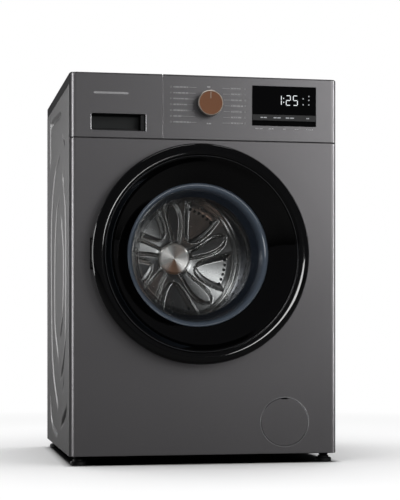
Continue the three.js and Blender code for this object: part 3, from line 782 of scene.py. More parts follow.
def side_panel(side, name):
    """A side sheet with folded edges and pressed stiffening grooves."""
    node = f"{name}_side_panel"
    (_, y0, z0), (_, y1, z1) = corners(node)
    bend, flange, pitch = 2.2, 18.0, 3.2
    ys = np.linspace(y0 + bend, y1 - bend, int((y1 - y0) / pitch))
    zs = np.linspace(z0, z1, int((z1 - z0) / pitch))
    grid_y, grid_z = np.meshgrid(ys, zs)
    depth = groove_depth(grid_y.ravel(), grid_z.ravel()).reshape(grid_y.shape)
    front = [(HALF - flange, y0)] + arc(HALF - bend, y0 + bend, bend, 275, 355, 4)
    back = arc(HALF - bend, y1 - bend, bend, 5, 85, 4) + [(HALF - flange, y1)]
    rows = []
    for i, z in enumerate(zs):
        flat = [(HALF - depth[i, k], y) for k, y in enumerate(ys)]
        rows.append([(side * x, y, z) for x, y in front + flat + back])
    obj = thing(f"{name}_side_skin", loft(rows, flip=side < 0), tidy=False)
    settle(thicken(obj, SHEET), SIDE, "cabinet", [node], weighted=False)
    spring_shelf(side, name)


def top_cover():
    """The lid: a shallow tray, upside down, with soft edges."""
    rows = []
    for z, inset in edge_rows(LID_Z, TOP_Z, bottom=0.8, top=3.5, fold=0):
        x, y0, y1 = HALF - inset, LID_Y + inset, BACK_Y - inset
        outline = rounded_rect(-x, x, y0, y1, (4, 4, 8, 8))
        rows.append([(x, y, z) for x, y in outline])
    obj = thing("top_cover_skin", loft(rows, closed=True, caps=(False, True)), tidy=False)
    settle(thicken(obj, 2.5), SIDE, "cabinet", ["top_cover"])


def screw(x, z, y, radius=4.0):
    """A pan head screw that faces backwards."""
    low, high = y + 1.2, y + 2.2
    head = filleted([(0, y), (radius, y), (radius, low), (radius * 0.6, high), (0, high)], 0.5)
    return turned(head, x, z, 32)


def rear_panel():
    """Back sheet with pressed ribs and openings for what passes through it."""
    low, high = corners("rear_panel")
    rib_low, rib_high, taper, half_width, rib_depth = 150, 700, 25, 9, 3.0
    rows = []
    for z in np.linspace(low[2], high[2], 200):
        ends = max(0.0, min(1.0, (z - rib_low) / taper, (rib_high - z) / taper))
        row = []
        for x in np.linspace(low[0], high[0], 150):
            gap = min(abs(abs(x) - rib_x) for rib_x in (216, 262))
            rib = rib_depth * ends * smooth(1 - gap / half_width)
            row.append((x, REAR_Y + SHEET - rib, z))
        rows.append(row)
    obj = thicken(thing("rear_panel_skin", loft(rows, flip=True), tidy=False), SHEET)
    depth = (REAR_Y - 8, REAR_Y + 8)
    cut(
        obj,
        block(-180, 180, *depth, 230, 700, 3),
        prism(circle(VALVE_X, VALVE_Z, 11.5, 48), *depth),
        prism(circle(CORD_X, CORD_Z, 9, 48), *depth),
    )
    settle(obj, ZINC, "cabinet", ["rear_panel"])


def service_cover():
    """The cover over the drive, and all the screws of the back."""
    (x0, rim, z0), (x1, top, z1) = corners("rear_service_cover")
    seat = rim + 1.6
    levels = (
        (0, rim), (0, rim + 1.0), (0.6, seat), (17, seat), (19, rim + 2.4), (21.5, top - 2),
        (24, top), (40, top), (43, top - 3), (47, top - 3), (50, top),
    )
    rows = outline_rows(x0, x1, z0, z1, (12, 12, 12, 12), levels)
    shape = loft(rows, closed=True, flip=True, caps=(False, True))
    cover = thicken(thing("service_cover_skin", shape, tidy=False), SHEET)
    settle(cover, ZINC, "cabinet", ["rear_service_cover"])
    left, right = x0 + 8, x1 - 8
    heads = [screw(x, z, seat) for x in (left, 0, right) for z in (z0 + 8, z1 - 8)]
    heads += [screw(x, 465, seat) for x in (left, right)]
    heads += [screw(x, z, REAR_Y + SHEET) for x in (-285, 285) for z in (60, 300, 540, 790)]
    piece("rear_screws", merged(*heads), MACHINED, "cabinet")


def connections():
    """The water inlet with its hose thread, and the gland the cord would leave by."""
    end = corners("water_inlet_valve")[1][1]
    thread = [(0, end), (8, end)]
    for i in range(6):
        y = end - 1.0 - i * 1.8
        thread += [(9.9, y), (9.0, y - 0.9)]
    thread += [(9.0, 538), (0, 538)]
    shape = merged(
        block(VALVE_X - 22, VALVE_X + 22, 500, 540.5, VALVE_Z - 22, VALVE_Z + 18, 3),
        block(VALVE_X - 16, VALVE_X + 16, 470, 501, VALVE_Z - 14, VALVE_Z + 14, 2),
        turned(thread, VALVE_X, VALVE_Z, 48),
    )
    piece("water_inlet", shape, WHITE, "cabinet", ["water_inlet_valve"])
    inside, face, end = REAR_Y - 8, REAR_Y + SHEET + 0.3, corners("cord_gland")[1][1]
    gland = filleted([
        (0, inside), (8, inside), (8, face), (12, face), (12, face + 3), (8, face + 4),
        (7.2, face + 6), (7.6, face + 7), (6.6, face + 8.4), (6.9, face + 9.4), (5, end), (0, end),
    ], 0.4)
    shape = turned(gland, CORD_X, CORD_Z, 48)
    piece("cord_strain_relief", shape, DARK, "cabinet", ["cord_gland"])


def filter_flap():
    """Round cover of the drain filter, a thin gap round it with a painted highlight ring, and a
    finger notch at its top.
    """
    profile = filleted([(0, -0.8), (53, -0.8, 1.6), (53, 1.2, 0.4), (0, 1.2)], 0.6)
    obj = thing("filter_flap_disc", turned(profile, FLAP_X, FLAP_Z))
    cut(obj, block(FLAP_X - 8, FLAP_X + 8, -5, 5, FLAP_Z + 50.4, FLAP_Z + 60, 1.5))
    settle(obj, GRAPHITE, "filter_flap", ["filter_cover"])
    # a raised ring round the opening, a lighter grey than the panel's own paint: a painted
    # highlight on the opening's edge
    edge = filleted([(53.9, -0.5), (55.5, -0.5), (55.5, 0.4), (53.9, 0.4)], 0.4)
    shape = turned(edge, FLAP_X, FLAP_Z)
    piece("filter_opening_edge", shape, GRIP_EDGE, "cabinet", slot="graphite_paint")
    plug = [(0, 16), (30, 16), (30, 26), (24, 26)]
    for y in range(30, 79, 8):
        plug += [(24, y), (21.5, y + 2), (21.5, y + 5), (24, y + 7)]
    plug += [(24, 92), (0, 92)]
    shape = merged(
        turned(filleted(plug, 0.8), FLAP_X, FLAP_Z, 72),
        block(FLAP_X - 20, FLAP_X + 20, 8, 18, FLAP_Z - 4, FLAP_Z + 4, 1.5),
    )
    piece("drain_filter_plug", shape, GREY, "drain_filter", ["drain_filter"])


def feet():
    """Levelling feet: a soft-edged pad on a threaded stem."""
    pad = [(0, 0), (17.2, 0), (18, 1.2), (18, 6.5), (15.5, 9), (12, 9), (12, 12.5), (9.2, 12.5)]
    thread = [point for z in range(14, 46, 2) for point in ((10.4, z), (9.2, z + 1))]
    profile = pad + thread + [(9.2, 46), (0, 46)]
    for node in ("foot_front_left", "foot_front_right", "foot_rear_left", "foot_rear_right"):
        shape = turned_upright(profile, middle(node, 0), middle(node, 1))
        piece(f"{node}_pad", shape, DARK, node, [node])


# ---- fascia ----


# Depths of the print on the fascia and of the lit marks on the display.
PRINT_Y = (-0.06, 0.05)
LIT_Y = (-0.62, -0.5)
BAR_HALF = 0.78


def stroke(x0, x1, z, height, depth=PRINT_Y):
    z0, z1 = z - height / 2, z + height / 2
    return prism([(x0, z0), (x1, z0), (x1, z1), (x0, z1)], *depth)


def ring_mark(x, z, radius, width=0.45):
    outer, inner = circle(x, z, radius, 20), circle(x, z, radius - width, 20)
    front, back = PRINT_Y
    lines = ((outer, back), (outer, front), (inner, front), (inner, back))
    return loft([[(a, y, b) for a, b in line] for line, y in lines], closed=True)


def label(x0, x1, z, seed, height=2.7):
    """A plain dashed line in the place of printed words."""
    marks = []
    x = x0
    while x < x1 - 1.0:
        length = 3.0 + ((seed * 7 + len(marks) * 5) % 6) * 1.1
        end = min(x + length, x1)
        marks.append(stroke(x, end, z, height))
        x = end + 1.1
    return marks


def icon(x, z, kind):
    """One of three plain marks: a ring, a bar with serifs, a ring with a dash."""
    if kind % 3 == 0:
        return [ring_mark(x, z, 1.9)]
    if kind % 3 == 1:
        serifs = [stroke(x - 1.8, x + 1.8, z + up, 0.5) for up in (1.1, -1.1)]
        return serifs + [stroke(x - 0.3, x + 0.3, z, 2.4)]
    return [ring_mark(x, z, 1.7), stroke(x - 0.9, x + 0.9, z, 0.5)]


def printed_marks():
    """The programs round the knob, the names of the keys and the plain badge."""
    left_ends = (-39, -38, -36, -41, -38, -52, -33)
    right_ends = (80, 80, 81, 84, 81, 80, 84)
    top_row, pitch = 823.0, 12.67
    shapes = []
    for i, (left_end, right_end) in enumerate(zip(left_ends, right_ends)):
        z = top_row - pitch * i
        from_middle = abs(len(left_ends) // 2 - i)
        shapes += icon(-77.0, z, i) + label(-71.5, left_end, z, i)
        shapes.append(stroke(left_end + 1.5, -26 + from_middle * 2.0, z, 0.8))
        shapes += label(56.5, right_end, z, i + 3) + icon(88.5, z, i + 1)
        shapes.append(stroke(42 - from_middle * 1.5, 54.5, z, 0.8))
    shapes += label(3.5, 11.5, 825.0, 4) + label(2.5, 12.5, 745.0, 6)
    for x, half in ((119.5, 8.5), (147, 5.3), (177, 3.2), (205, 4.3), (234.5, 8.0)):
        shapes += label(x - half, x + half, 737.0, int(x), 1.9)
    piece("fascia_marks", merged(*shapes), PRINT, "cabinet", weighted=False)
    badge = prism(rounded_rect(-246, -170, 803.8, 808.2, (1.6,) * 4, 4), -0.35, 0.05)
    piece("plain_badge", badge, BADGE, "drawer")


def segment(x0, z0, x1, z1):
    """One bar of a digit, its ends pointed."""
    a, b = Vector((x0, z0)), Vector((x1, z1))
    along = (b - a).normalized()
    a, b, along = a + along * 0.35, b - along * 0.35, along * BAR_HALF
    across = Vector((-along.y, along.x))
    points = [a, a + along + across, b - along + across, b, b - along - across, a + along - across]
    return prism([tuple(p) for p in points], *LIT_Y)


def digit(x, z, width, height, bars):
    """The named ones of seven bars: a on top, then clockwise to f, g in the middle."""
    low, mid, high, right = z, z + height / 2, z + height, x + width
    ends = {
        "a": (x, high, right, high), "b": (right, high, right, mid), "c": (right, mid, right, low),
        "d": (x, low, right, low), "e": (x, low, x, mid), "f": (x, mid, x, high),
        "g": (x, mid, right, mid),
    }
    return [segment(*ends[bar]) for bar in bars]


def display():
    """The dark pane with its digits, marks and strip of words, and the keys below it."""
    piece("display_pane", node_block("display_window", 0.7), PANE, "cabinet", ["display_window"])
    for i in range(1, 6):
        node = f"panel_key_{i}"
        piece(f"key_{i}_cap", node_block(node, 0.45), PANE, f"key_{i}", [node])
    z, height, one_x = 790.0, 21.0, 170.4
    mid, top = z + height / 2, z + height
    digits = [segment(one_x, mid, one_x, top), segment(one_x, z, one_x, mid)]
    digits += [stroke(174.6, 176.6, z + up, 2.0, LIT_Y) for up in (14.8, 6.2)]
    digits += digit(181.5, z, 9.4, height, "abged") + digit(197.6, z, 9.4, height, "afgcd")
    piece("display_digits", merged(*digits), DIGIT, "cabinet", weighted=False)
    spots = ((220, 805), (220, 792), (233, 810.5), (233, 802), (233, 792))
    dots = [prism(circle(x, dot_z, 1.5, 16), *LIT_Y) for x, dot_z in spots]
    piece("display_dots", merged(*dots), DIM_DIGIT, "cabinet", weighted=False)
    low, high = corners("display_window")
    strip = block(low[0] + 0.6, high[0] - 0.6, -0.6, -0.45, 755.2, 768, 0.05, 1)
    piece("display_strip", strip, STRIP, "cabinet", weighted=False)
    words = []
    for x, half in ((130.3, 7.0), (160.8, 8.0), (189.7, 9.4), (230.4, 3.2)):
        for x0, x1 in ((x - half, x - half * 0.15), (x + half * 0.05, x + half)):
            words.append(stroke(x0, x1, 761.5, 2.3, (-0.7, -0.55)))
    piece("display_words", merged(*words), DIM_DIGIT, "cabinet", weighted=False)


def fascia_skin(name, x0, x1, left, right):
    return front_skin(
        name, x0, x1, left, right, FASCIA_Z, TOP_Z, bottom=1.2, top=4.0, fold=5,
        thickness=FASCIA_SHEET,
    )


def fascia():
    """The control panel with its display opening, and the drawer front with its grip pocket."""
    panel = fascia_skin("control_panel_skin", SPLIT_RIGHT, HALF, 1.1, CORNER)
    (x0, _, _), (x1, _, z1) = corners("display_window")
    z0 = corners("panel_key_1")[0][2]
    cut(panel, prism(rounded_rect(x0 - 0.4, x1 + 0.4, z0 - 0.4, z1 + 0.4, (1.5,) * 4, 4), -5, 8))
    settle(panel, FASCIA, "cabinet", ["control_panel"])

    drawer = fascia_skin("drawer_front_skin", -HALF, SPLIT_LEFT, CORNER, 1.1)
    grip = (-252.0, -131.0, 724.0, 762.5)
    cut(drawer, prism(rounded_rect(*grip, (5, 2, 2, 5)), -5, 8))
    settle(drawer, FASCIA, "drawer", ["drawer_front"])
    levels = ((-0.1, 2.5), (-0.1, 0.1), (0.35, -0.25), (0.9, 0.1), (1.0, 2.0))
    rim = outline_rows(*grip, (5, 2, 2, 5), levels)
    piece("grip_rim", loft(rim, closed=True), GRIP_EDGE, "drawer")
    levels = ((0.9, 1.0), (1.0, 3.0), (1.6, 24.0), (3.0, 28.0), (6.0, 29.6))
    pocket = outline_rows(*grip, (4.5, 2, 2, 4.5), levels)
    shape = loft(pocket, closed=True, flip=True, caps=(False, True))
    piece("grip_pocket", shape, POCKET, "drawer")
    steps = merged(
        block(-143, -133, 6, 29, 726, 761, 1.0),
        block(-251, -143, 17, 29, 725.2, 731.5, 1.2),
    )
    piece("grip_steps", steps, DARK, "drawer")


def knob():
    """Black barrel, bright rim and copper face with a pointer."""
    x, z, proud = KNOB_X, KNOB_Z, corners("knob_face")[0][1]
    face_r = KNOB_R - 2.8
    body = filleted([
        (0, 14), (5, 14), (5, -0.8), (KNOB_R - 1.2, -0.8), (KNOB_R, -2.5), (KNOB_R, proud + 5),
        (KNOB_R - 0.4, proud + 2.6), (0, proud + 2.6),
    ], 0.6)
    piece("knob_body", turned(body, x, z), BLACK, "knob", ["program_knob"])
    rim = filleted([
        (KNOB_R - 0.2, proud + 3.0), (KNOB_R - 0.2, proud + 2.2), (KNOB_R - 1.4, proud + 0.3),
        (KNOB_R - 2.4, proud + 0.05), (face_r, proud + 0.6), (face_r, proud + 3.0),
    ], 0.4)
    piece("knob_rim", turned(rim, x, z), CHAMPAGNE, "knob")
    face = [(0, proud + 0.9), (face_r, proud + 0.65), (face_r, proud + 2.6), (0, proud + 2.6)]
    piece("knob_disc", turned(face, x, z), COPPER, "knob", ["knob_face"])
    outline = rounded_rect(x - 0.75, x + 0.75, z + 9.5, z + 24.4, (0.6,) * 4, 3)
    piece("knob_pointer", prism(outline, proud + 0.35, proud + 1.2), CHAMPAGNE, "knob")


def drawer_inside():
    """Tray with three compartments and the housing it slides in."""
    (x0, y0, z0), (x1, y1, z1) = corners("drawer_tray")
    tray = thing("detergent_tray", node_block("drawer_tray", 2.0))
    walls = [x0, -201, -156, x1 - 2]
    cut(tray, *[
        block(left + 2, right, y0 + 2, y1 - 2, z0 + 2, z1 + 20, 1.9)
        for left, right in zip(walls, walls[1:])
    ])
    settle(tray, WHITE, "drawer", ["drawer_tray"])
    (x0, y0, z0), (x1, y1, z1) = corners("dispenser_housing")
    wall = 2.5
    housing = thing("dispenser_box", node_block("dispenser_housing", 2.0))
    cut(housing, block(x0 + wall, x1 - wall, y0 - 20, y1 - wall, z0 + wall, z1 - wall, 1.0))
    settle(housing, GREY, "cabinet", ["dispenser_housing"])


# ---- door ----


def door():
    """Black ring and dish, bright trim, the glass with its thick rim, and the back frame."""
    x, z = DOOR_X, DOOR_Z
    grip = block(x + 217, x + 250, -25, 5, z - GRIP_HALF, z + GRIP_HALF, 4)

    def hinge_notch(front):
        return block(x - 250, x - 214, front, 5, z - HINGE_HALF, z + HINGE_HALF, 2)

    ring = filleted([
        (240, -4), (240, -32, 5), (235.5, -38.8, 4), (226, -42, 5), (217, -41.2, 2),
        (213.3, -37.5, 1.2), (213, -30), (216, -30), (218, -38.4), (232.5, -38), (237, -31),
        (237, -4),
    ], 0.8)
    obj = cut(thing("door_ring", turned(ring, x, z, 192)), hinge_notch(-33), grip)
    settle(obj, BLACK, "door", ["door_outer_ring"])
    trim = [(211.3, -39.4), (212.0, -40.2), (212.75, -39.6), (212.75, -34), (211.3, -34)]
    shape = turned(filleted(trim, 0.3), x, z, 192)
    piece("door_trim", shape, CHROME, "door", ["door_trim_ring"])
    dish = filleted([
        (211, -37, 0.3), (209, -36.5, 2), (196, -22, 12), (176, -6, 12), (157.5, 9.6, 1),
        (157.5, 13), (168.5, 3.6, 6), (187.5, -9.5, 6), (211, -31),
    ], 1.0, steps=8)
    piece("door_funnel", turned(dish, x, z, 192), BLACK, "door", ["door_dish"])
    edge = filleted([
        (131.9, 69.7), (141.8, 39.6, 10), (146.0, 20.0, 6), (147.6, 14.4, 3), (151.5, 11.4, 3),
        (155.5, 11.0, 2), (157.3, 12.2, 1), (157.3, 13.6), (167, 13.6), (167, 18.5),
        (151.6, 18.5, 2), (146.3, 39.6, 8), (137.0, 69.7),
    ], 0.6)
    piece("door_glass_rim", turned(edge, x, z, 192), GLASS_EDGE, "door")
    bowl = filleted([
        (0, 118), (94, 116, 14), (121.5, 101.5, 12), (131.8, 70),
        (136.9, 70), (126, 104, 14), (95, 121, 14), (0, 123),
    ], 0.6, steps=8)
    piece("door_bowl", turned(bowl, x, z, 192), GLASS, "door", ["door_glass"])
    frame_profile = filleted([(188, -6), (236.5, -6), (236.5, -3.2), (188, -3.2)], 0.6)
    latch_slot = block(x + 184, x + 204, -9, 2, z - 12, z + 12, 1)
    inner = thing("door_back_frame", turned(frame_profile, x, z, 192))
    settle(cut(inner, hinge_notch(-10), grip, latch_slot), DARK, "door", ["door_inner_frame"])
    head = filleted([(0, -3.4), (3.2, -3.4), (3.2, -2.6), (1.8, -1.9), (0, -1.9)], 0.3)
    turns = [math.radians(a) for a in range(20, 360, 40)]
    heads = [turned(head, x + 212 * math.cos(a), z + 212 * math.sin(a), 24) for a in turns]
    piece("door_frame_screws", merged(*heads), MACHINED, "door")


def gasket():
    """Rubber bellows between the mouth and the tub."""
    profile = filleted([
        (173.5, 1.6), (172, 20, 4), (160, 22, 3), (160, 27, 3), (175, 33, 4), (169, 50, 4),
        (169, 60), (182, 60), (182, 57), (172.5, 57), (172.5, 50, 3), (178.5, 31, 4),
        (165, 25, 2), (175.5, 22.5, 3), (179, 1.6),
    ], 0.8)
    shape = turned(profile, DOOR_X, DOOR_Z)
    piece("door_bellows", shape, RUBBER, "cabinet", ["door_gasket"])


# ---- drum and suspension ----

# The star pressed into the drum's back, between windows that each have a row of holes.
ARM_COUNT = 5
ARM_PHASE = 13.0
ARM_SWIRL = 10.0
STAR_SHRINK = 1.32
HOLE_CIRCLE = 129.0
HOLES_PER_WINDOW = 6
BACK_FACE = 407.5
STUD_CIRCLES = (172, 180, 188, 196)
LIFTER_ANGLES = (-8, 112, 232)


def arm_lead(radius):
    """Angle in degrees of the first arm's middle line, which swirls as it goes out."""
    return ARM_PHASE + ARM_SWIRL * (radius - 45) / 145


def bead(gap, width):
    """A rounded line, one high where gap is nothing."""
    return np.exp(-((gap / width) ** 2))


def star_height(radius, angle):
    """How far the pressed star stands forward, in millimetres, at polar points of the back."""
    rings = 3.0 * bead(radius - 152, 2.4) + 2.2 * bead(radius - 162, 2.0)
    hub_edge, apex, tip_start, arm_end, window_end, rim_start = 62, 74, 140, 187, 192, 196
    radius = radius * STAR_SHRINK
    sector = 2 * math.pi / ARM_COUNT
    lead = np.radians(arm_lead(radius))

    tip = np.clip((radius - tip_start) / 46, 0, 1)
    half = (13 + 12 * smooth((radius - 40) / 100)) * np.sqrt(1 - tip**2)
    off_arm = (angle - lead + sector / 2) % sector - sector / 2
    edge = np.maximum(np.abs(radius * np.sin(off_arm)) - half, radius - arm_end)
    arm = 8.5 * smooth(-edge / 9)

    off_window = (angle - lead) % sector - sector / 2
    side = radius * np.sin(off_window)
    opening = np.abs(side) - 5.7 * np.sqrt(np.clip(radius - apex, 0, None))
    opening = np.where(radius < apex, np.hypot(side, radius - apex), opening)
    opening = np.maximum(opening, radius - window_end)
    window = -4.0 * smooth(-opening / 16)

    beads = np.maximum(2.4 * bead(edge, 2.2), 2.0 * bead(opening, 2.0))
    hub = smooth((hub_edge - radius) / 20)
    rim = smooth((radius - rim_start) / 12)
    return (arm + 1.3 * beads + window) * (1 - hub) * (1 - rim) + 3.0 * hub + rings


def drum_back():
    """The pressed back sheet with its rounded edge, the studs on it and the holes through it."""
    flat, bend = 225, 9.3
    radii = np.concatenate([
        np.linspace(8, 36, 8), np.linspace(38, 200, 128), np.linspace(202, flat, 10),
    ])
    rows = []
    for a in np.radians(np.arange(0, 360, 0.75)):
        profile = list(zip(radii, BACK_FACE - star_height(radii, a)))
        for b in np.radians([30, 60, 90]):
            profile.append((flat + bend * math.sin(b), BACK_FACE - bend * (1 - math.cos(b))))
        rows.append([(r * math.cos(a), y, DRUM_Z + r * math.sin(a)) for r, y in profile])
    rows.append(rows[0])
    back = thicken(thing("drum_back_star", loft(rows)), -1.0)
    settle(back, STEEL_BACK, "drum", ["drum_back"], weighted=False, sharp=60)

    def spots(profile, radius, degrees, steps):
        """The turned profile at each of the angles on a circle."""
        for a in (math.radians(d) for d in degrees):
            yield turned(profile, radius * math.cos(a), DRUM_Z + radius * math.sin(a), steps)

    stud = [(0, 405.3), (1.2, 405.7), (2.0, 406.7), (2.2, 407.8), (0, 407.8)]
    studs = [shape for r in STUD_CIRCLES for shape in spots(stud, r, range(0, 360, 6), 10)]
    piece(
        "drum_back_studs", merged(*studs), CHROME, "drum", slot="stainless", weighted=False,
        sharp=80,
    )
    # near-black discs on the window floors: painted shade in the place of holes through the back
    hole = [(0, 409.6), (3.6, 409.6), (3.6, 412), (0, 412)]
    sector, first = 360 / ARM_COUNT, arm_lead(HOLE_CIRCLE * STAR_SHRINK)
    degrees = [
        first + sector * (k + 0.5) + (i - (HOLES_PER_WINDOW - 1) / 2) * 5.4
        for k in range(ARM_COUNT) for i in range(HOLES_PER_WINDOW)
    ]
    piece("drum_back_holes", merged(*spots(hole, HOLE_CIRCLE, degrees, 20)), HOLE_SHADE, "drum")


def lifter(angle):
    """A tall narrow rib along the drum, rounded at its crest and sloped at its ends."""
    levels = [
        (130, 0.0), (132, 0.35), (138, 0.75), (148, 0.95), (160, 1.0),
        (355, 1.0), (367, 0.95), (377, 0.75), (383, 0.35), (385, 0.0),
    ]
    section = filleted([
        (-22, 0, 0), (-11, 30, 8), (-5, 39, 5), (0, 40, 3), (5, 39, 5), (11, 30, 8), (22, 0, 0),
    ], 3, closed=False)
    along, across = math.cos(angle), math.sin(angle)
    foot = 233.5
    rows = []
    for y, rise in levels:
        row = []
        for off, up in section:
            r = foot - up * rise * 0.99
            row.append((r * along - off * across, y, DRUM_Z + r * across + off * along))
        rows.append(row)
    return loft(rows, closed=True, caps=(True, True))


def drum():
    """Perforated wall, front ring with its rolled lip, pressed back, hub and lifters."""
    (_, front, _), (_, rear, _) = corners("drum_shell")
    inside = DRUM_R - 1.4
    shell = [(DRUM_R, front), (DRUM_R, rear), (inside, rear), (inside, front)]
    piece("drum_wall", turned(shell, 0, DRUM_Z, 192), WALL, "drum", ["drum_shell"])
    lip = filleted([
        (160, 98, 2), (162, 91.5, 3), (169, 92, 2), (173, 96, 3), (DRUM_R, 100, 6), (DRUM_R, 112),
        (inside, 112), (inside, 102, 5), (170, 98.5, 2), (166, 96, 2),
    ], 0.8)
    piece("drum_front_ring", turned(lip, 0, DRUM_Z, 192), STEEL, "drum", ["drum_front"])
    drum_back()
    cap = filleted([(0, 398), (34, 399.2, 3), (38.5, 402.5, 2), (38.5, 409.2), (0, 409.2)], 0.8)
    piece("drum_hub", turned(cap, 0, DRUM_Z, 128), HUB, "drum", ["hub_cap"])
    for k, angle in enumerate(LIFTER_ANGLES, 1):
        shape = lifter(math.radians(angle))
        piece(f"lifter_{k}", shape, STEEL, "drum", [f"drum_lifter_{k}"], sharp=50)


def tub_spring(side):
    """A coil spring from its shelf on the cabinet to its lug on the tub."""
    node = f"suspension_spring_{side}"
    low, high = corners(node)
    x, y = middle(node, 0), middle(node, 1)
    wire, turns, per_turn = 1.6, 11, 24
    coil = (high[1] - low[1]) / 2 - wire - 0.3
    bottom, top = low[2] + wire, high[2] - wire
    rows = []
    for i in range(turns * per_turn + 1):
        a = 2 * math.pi * i / per_turn
        up = bottom + (top - bottom) * i / (turns * per_turn)
        row = []
        for b in np.radians(np.arange(0, 360, 45)):
            r = coil + wire * math.cos(b)
            row.append((x + r * math.cos(a), y + r * math.sin(a), up + wire * math.sin(b)))
        rows.append(row)
    shape = loft(rows, closed=True, caps=(True, True))
    joint = ("cabinet", "tub", place(x, y, top), place(x, y, bottom))
    piece(f"tub_spring_{side}", shape, MACHINED, joint, [node], weighted=False, sharp=50)


# ---- what keeps its CAD shape ----

KEPT = (
    (ZINC, "base_tray", "front_rail"),
    (COATED, "hinge_bracket", "door_hinge_leaf"),
    (
        MACHINED, "door_latch_hook", "motor_housing", "motor_pulley", "drum_spider",
        "drum_pulley", "damper_rod_left", "damper_rod_right",
    ),
    (DARK, "door_lock"),
    (GREY, "tub_front", "tub_rear", "damper_tube_left", "damper_tube_right"),
    (CONCRETE, "upper_counterweight"),
    (BELT, "drive_belt"),
    (WHITE, "drain_pump_body"),
)


def kept():
    for finish, *nodes in KEPT:
        for node in nodes:
            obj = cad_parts[node]
            obj.data.materials.clear()
            obj.data.materials.append(finish)


# ---- stage, light and camera ----

# Lengths from here on are metres.
AIM = (0, -0.2, 0.45)
HUB_AIM = (0, FRONT + 400 * MM, DRUM_Z * MM)


def area(name, location, target, size, power, color=(1, 1, 1)):
    data = bpy.data.lights.new(name, "AREA")
    data.shape = "RECTANGLE"
    data.size, data.size_y = size
    data.energy = power
    data.color = color
    light = bpy.data.objects.new(name, data)
    light.location = location
    light.rotation_mode = "QUATERNION"
    light.rotation_quaternion = (Vector(target) - Vector(location)).to_track_quat("-Z", "Y")
    scene.collection.objects.link(light)
    return light


def keep_to(light, use, members):
    """Limits what a light lights ("receiver") or what casts its shadows ("blocker")."""
    group = bpy.data.collections.new(f"{light.name}_{use}")
    for obj in members:
        group.objects.link(obj)
    setattr(light.light_linking, f"{use}_collection", group)


def studio():
    """A world that is white to the camera and a faint grey fill to everything else."""
    world = bpy.data.worlds.new("studio")
    world.use_nodes = True
    scene.world = world
    tree = world.node_tree
    seen, fill = tree.nodes["Background"], tree.nodes.new("ShaderNodeBackground")
    seen.inputs["Color"].default_value = (1, 1, 1, 1)
    fill.inputs["Color"].default_value = (0.045, 0.045, 0.048, 1)
    to_camera = tree.nodes.new("ShaderNodeLightPath").outputs["Is Camera Ray"]
    both = mixed(tree, to_camera, fill.outputs[0], seen.outputs[0])
    tree.links.new(both, tree.nodes["World Output"].inputs["Surface"])


def floor_finish():
    """Pale with a painted shadow right under the machine, white far away and dark in reflections.
    """
    f = Finish("floor_white", (0.90, 0.90, 0.90), 0.0, 0.6)
    f.vary(f.noise(3, 2), 0.01)
    x, y, _ = f.split(f.coordinates)
    across = f.math("DIVIDE", f.math("ABSOLUTE", x), HALF * MM)
    deep = f.math("DIVIDE", f.math("ABSOLUTE", y), -FRONT)
    # painted shadow: the floor turns near-black under the machine's footprint
    f.tint(f.mapped(f.math("MAXIMUM", across, deep), 1.05, 0.94), (0.04, 0.04, 0.04))
    material = f.done()
    glow, dull = f.node("ShaderNodeEmission"), f.node("ShaderNodeBsdfDiffuse")
    dull.inputs["Color"].default_value = (0.05, 0.05, 0.05, 1)
    distance = f.node("ShaderNodeVectorMath", operation="LENGTH")
    f.link(f.coordinates, distance.inputs[0])
    away = f.mapped(distance.outputs["Value"], 0.7, 1.9)
    to_camera = f.node("ShaderNodeLightPath").outputs["Is Camera Ray"]
    seen = mixed(f.tree, away, f.shader.outputs[0], glow.outputs[0])
    whole = mixed(f.tree, to_camera, dull.outputs[0], seen)
    f.link(whole, f.tree.nodes["Material Output"].inputs["Surface"])
    return material


def stage():
    bm = bmesh.new()
    bmesh.ops.create_circle(bm, cap_ends=True, segments=96, radius=6)
    mesh = bpy.data.meshes.new("floor")
    bm.to_mesh(mesh)
    bm.free()
    floor = bpy.data.objects.new("floor", mesh)
    scene.collection.objects.link(floor)
    mesh.materials.append(floor_finish())
    return floor


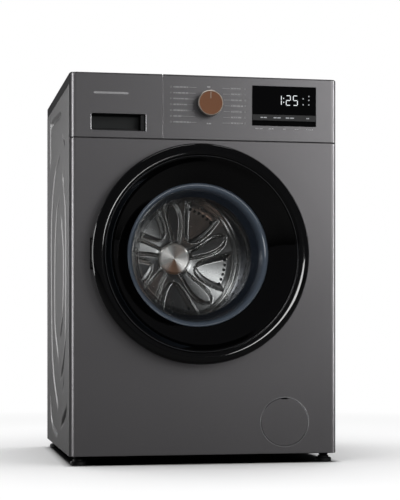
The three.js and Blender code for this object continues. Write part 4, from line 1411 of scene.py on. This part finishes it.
def lamps(floor):
    """Area lamps, each kept to the pieces whose tone it sets."""
    meshes = [obj for obj in scene.objects if obj.type == "MESH"]

    def named(*starts):
        return [obj for obj in meshes if obj.name.startswith(starts)]

    drum_set = named("drum_", "lifter_")
    door_set = named("door_ring", "door_funnel", "door_trim", "door_glass_rim", "door_bowl")
    rim_set = named("door_glass_rim")
    pane_set = named("display_pane", "key_")
    body_set = [obj for obj in meshes if obj not in drum_set + door_set + pane_set + [floor]]
    front_set = named(
        "front_panel_skin", "control_panel_skin", "drawer_front_skin", "top_cover_skin",
        "grip_rim", "filter_",
    )
    back_set = [obj for obj in body_set + door_set if obj not in front_set]
    left, right = (-0.3, -0.25, 0.45), (0.3, -0.25, 0.45)
    for lit_set, name, *settings in (
        ([floor], "floor_light", (0, 0, 3.0), (0, 0, 0), (3.0, 3.0), 160),
        (body_set, "key_right", (1.85, -2.8, 1.6), AIM, (2.1, 2.1), 28),
        (body_set, "front_fill", (0.3, -3.3, 0.2), AIM, (4.0, 3.0), 9),
        (back_set, "left_back", (-2.2, 1.4, 0.4), (-0.3, 0, 0.40), (2.2, 2.0), 38),
        (front_set, "strip_left", (-2.18, -1.38, 0.5), left, (0.7, 2.4), 36),
        (front_set, "strip_right", (2.2, -0.8, 0.6), right, (0.25, 2.2), 30),
        (body_set + door_set, "top", (0, 0.4, 2.6), AIM, (2.0, 0.8), 18),
        (named("door_ring"), "door_card", (1.2, -2.8, 0.05), AIM, (1.2, 1.0), 34),
        (rim_set, "rim_left", (-1.6, -1.6, 0.2), AIM, (0.5, 0.8), 14),
        (rim_set, "rim_light", (0.4, -2.2, -0.2), AIM, (1.5, 1.0), 26),
    ):
        keep_to(area(name, *settings), "receiver", lit_set)
    large, small, narrow = (0.25, 0.25), (0.12, 0.12), (0.12, 0.2)
    high = (0.80, -1.57, 1.58)
    for lit_set, name, location, *settings in (
        (drum_set, "drum_white", (0.96, -1.83, 0.27), large, 6.5),
        (drum_set, "drum_high", high, large, 0.8, (1.0, 0.88, 0.80)),
        (named("drum_hub"), "hub_light", high, large, 1.6, (1.0, 0.93, 0.88)),
        (drum_set, "drum_low", (-0.13, -1.3, 0.08), small, 0.25, (1.0, 0.66, 0.50)),
        (drum_set, "drum_left", (-0.9, -0.7, 1.2), narrow, 1.8),
        (drum_set, "drum_side", (1.3, -0.45, 1.2), narrow, 1.6),
    ):
        light = area(name, location, HUB_AIM, *settings)
        keep_to(light, "receiver", lit_set)
        keep_to(light, "blocker", named("drum_back_star", "drum_hub"))


def camera():
    """The photograph's view, fitted to the corners of the front and of the left side."""
    data = bpy.data.cameras.new("camera")
    data.sensor_width = 36
    data.lens = 106.15
    data.shift_x = 0.013
    data.shift_y = 0.1576
    obj = bpy.data.objects.new("camera", data)
    obj.location = (-0.6195, -3.4228, 0.296)
    obj.rotation_euler = (math.radians(90), 0, math.radians(-10.61))
    scene.collection.objects.link(obj)
    scene.camera = obj
    scene.view_settings.view_transform = "Standard"


front_panel()
side_panel(-1, "left")
side_panel(1, "right")
top_cover()
rear_panel()
service_cover()
connections()
filter_flap()
feet()
fascia()
printed_marks()
display()
knob()
drawer_inside()
door()
gasket()
drum()
tub_spring("left")
tub_spring("right")
kept()
studio()
lamps(stage())
camera()
